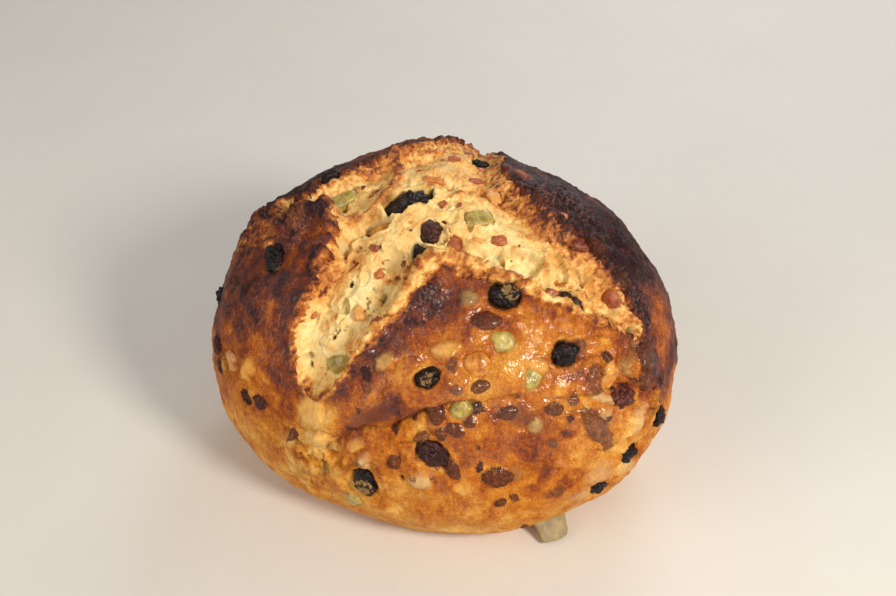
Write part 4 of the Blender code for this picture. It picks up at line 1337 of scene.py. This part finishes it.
def peel_material(name, pale, deep, coat):
    """Candied peel: clear, with paler and deeper clouds inside."""
    m = Nodes(name)
    tone = m.mix(m.scale(m.noise(2.6, 3.0), 0.35, 0.65), srgb(*pale), srgb(*deep))
    tone = m.mix(m.scale(m.noise(0.8, 2.0), 0.55, 0.75, 0.0, 0.35), tone, srgb(*SUGAR_TONE))
    normal = m.bump(m.noise(1.6, 3.0), 0.35)
    return m.finish(base_color=tone, roughness=m.scale(m.noise(1.8), 0.3, 0.7, 0.26, 0.46), normal=normal,
                    coat_weight=coat, coat_roughness=0.14, coat_normal=normal, subsurface_weight=0.40,
                    subsurface_scale=2.0 * MM, subsurface_radius=(1.0, 0.8, 0.3))


def bits_material():
    m = Nodes("toasted_bits")
    tone = m.math("ADD", m.field("tone").outputs["Fac"], m.grain(0.16, 0.9, 4.0))
    normal = m.bump(m.noise(0.7, 3.0), 0.25)
    return m.finish(base_color=m.ramp(tone, BIT_TONES), roughness=m.scale(m.noise(1.0), 0.3, 0.7, 0.38, 0.58),
                    normal=normal, coat_weight=0.2, coat_roughness=0.25)


def toasted_material(name, pale, deep):
    m = Nodes(name)
    tone = m.mix(m.scale(m.noise(2.6, 4.0), 0.32, 0.68), srgb(*pale), srgb(*deep))
    normal = m.bump(m.noise(0.8, 3.0), 0.25)
    return m.finish(base_color=tone, roughness=m.scale(m.noise(2.0), 0.3, 0.7, 0.4, 0.62), normal=normal)


# ---------------------------------------------------------------- fruit
def copy_node(name, kind):
    """A finer copy of a CAD node's shape, its points about its middle, and that middle."""
    low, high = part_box(name)
    middle = (low + high) / 2
    made = add_object(name + "_fine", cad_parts[name].data.copy())
    made.data.materials.clear()
    shape = bmesh.new()
    shape.from_mesh(made.data)
    bmesh.ops.remove_doubles(shape, verts=shape.verts, dist=0.02 * MM)
    shape.to_mesh(made.data)
    shape.free()
    finer = made.modifiers.new("finer", "SUBSURF")
    finer.subdivision_type = kind
    finer.levels = FINER_LEVELS
    finer.render_levels = FINER_LEVELS
    if kind == "SIMPLE":
        soft = made.modifiers.new("soft", "SMOOTH")
        soft.factor = 0.5
        soft.iterations = PEEL_ROUNDS
    bpy.context.view_layer.update()
    mesh = bpy.data.meshes.new_from_object(made.evaluated_get(bpy.context.evaluated_depsgraph_get()))
    made.modifiers.clear()
    made.data = mesh
    points = np.empty(len(mesh.vertices) * 3, np.float32)
    mesh.vertices.foreach_get("co", points)
    return made, points.reshape(-1, 3) / MM - np.array(middle) / MM, np.array(middle) / MM


def settle(made, points, middle, grow):
    """Writes back a piece's points, grown about its middle."""
    made.data.vertices.foreach_set("co", ((points * grow + middle) * MM).astype(np.float32).ravel())
    made.data.update()
    made.data.shade_smooth()


def hand_over(made, name, material):
    made.data.materials.append(material)
    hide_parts(name)
    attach(made, "root")


def own_axes(points):
    """A piece's points along its own long, middle and short axes, each from -1 to 1."""
    _, _, axes = np.linalg.svd(points[::7], full_matrices=False)
    local = points @ axes.T
    return local / np.abs(local).max(axis=0)


def wrinkle_raisin(name, seed, material):
    """A raisin with folds at three sizes, a dent where it is curled, and dough over its top."""
    made, points, middle = copy_node(name, "CATMULL_CLARK")
    local = own_axes(points)
    outward = unit(middle[None] - np.array((0.0, 0.0, BELLY_HEIGHT)))[0]
    upward = unit(points) @ outward
    lumps = bumps(points, 5.5, seed + 9)
    folds = np.abs(bumps(points, 2.8, seed)) * 2.0
    fine_folds = np.abs(bumps(points, 1.5, seed + 1)) * 2.0
    small = bumps(points, 0.8, seed + 2)
    depth = 0.8 * lumps + 0.95 * (folds - 0.55) + 0.42 * (fine_folds - 0.5) + 0.10 * small
    points = points + unit(points) * depth[:, None]
    veil, brown, curl, grow = RAISIN_LOOKS.get(name, PLAIN_RAISIN)
    dent = ridge(np.hypot(local[:, 0] * 1.1, local[:, 1] * 1.2), 0, 0.5) * smooth_step(upward)
    points = points - outward * (curl * dent)[:, None]
    settle(made, points, lifted(name, middle), grow)
    top = smooth_step((upward - 0.25) / 0.6)
    cover = veil * top * (1.0 + 0.9 * bumps(points, 2.4, seed + 3)) + 0.9 * dent * (curl > 2)
    tint = np.clip(brown + 0.25 * bumps(points, 4.0, seed + 4), 0, 1)
    add_fields(made.data, {"veil": np.clip(cover, 0, 1), "brown": tint})
    hand_over(made, name, material)


def soften_peel(name, seed, material):
    """A piece of peel, almond or dough with rounded corners and uneven sides."""
    made, points, middle = copy_node(name, "SIMPLE")
    corner = np.maximum(np.linalg.norm(own_axes(points), axis=1) - 1.0, 0)
    points = points * (1.0 - 0.4 * corner)[:, None]
    uneven = 0.55 * bumps(points, 4.5, seed) + 0.18 * bumps(points, 1.6, seed + 1)
    points = points + unit(points) * uneven[:, None]
    settle(made, points, lifted(name, middle), PEEL_GROWTH)
    hand_over(made, name, material)


def make_fruit():
    raisin = raisin_material()
    finishes = {
        "citron": ("citron", peel_material("citron", (198, 174, 90), (148, 128, 54), 0.35)),
        "orange": ("orange_peel", peel_material("orange_peel", (224, 152, 50), (176, 96, 24), 0.5)),
        "almond": ("almond", toasted_material("toasted_almond", (188, 104, 58), (134, 64, 38))),
        "dough": ("scrap", toasted_material("pale_dough", (172, 152, 106), (142, 124, 88))),
    }
    for seed, name in enumerate(sorted(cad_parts)):
        kind = name.split("_")[0]
        if kind == "raisin":
            wrinkle_raisin(name, seed, raisin)
        elif kind in finishes:
            slot, finish = finishes[kind]
            soften_peel(name, seed, finish)


# ---------------------------------------------------------------- stage
def make_floor():
    bpy.ops.mesh.primitive_plane_add(size=FLOOR_SIZE)
    floor = bpy.context.active_object
    floor.name = "floor"
    m = Nodes("floor")
    tone = m.mix(m.noise(60.0), srgb(226, 222, 216), srgb(232, 229, 224))
    floor.data.materials.append(m.finish(base_color=tone, roughness=0.7))


def add_light(name, place_mm, size_mm, power, colour):
    light = bpy.data.lights.new(name, "AREA")
    light.shape = "DISK"
    light.size = size_mm * MM
    light.energy = power
    light.color = colour
    made = add_object(name, light)
    made.location = Vector(place_mm) * MM
    aim = Vector(LIGHT_TARGET) - made.location
    made.rotation_euler = aim.to_track_quat("-Z", "Y").to_euler()


def make_stage():
    make_floor()
    for name, settings in LIGHTS.items():
        add_light(name, *settings)
    world = bpy.context.scene.world or bpy.data.worlds.new("world")
    bpy.context.scene.world = world
    world.use_nodes = True
    sky = world.node_tree.nodes["Background"]
    sky.inputs["Color"].default_value = SKY_COLOUR
    sky.inputs["Strength"].default_value = SKY_STRENGTH
    bpy.context.scene.view_settings.view_transform = "Standard"


def make_camera():
    tilt = math.radians(VIEW_ELEVATION)
    back = Vector((0, -math.cos(tilt), math.sin(tilt)))
    camera = bpy.data.cameras.new("camera")
    camera.lens = LENS
    camera.sensor_width = SENSOR_WIDTH
    made = add_object("camera", camera)
    made.location = (Vector(VIEW_TARGET) + back * VIEW_DISTANCE) * MM
    made.rotation_euler = (math.pi / 2 - tilt, 0, 0)
    bpy.context.scene.camera = made


def dress(made, material):
    made.data.materials.append(material)
    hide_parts("loaf")
    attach(made, "root")


def main():
    crust = make_crust()
    crumb, places, points = make_crumb()
    bits = make_bits(places, points)
    dress(crust, crust_material())
    dress(crumb, crumb_material())
    bits.data.materials.append(bits_material())
    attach(bits, "root")
    make_fruit()
    make_stage()
    make_camera()


main()
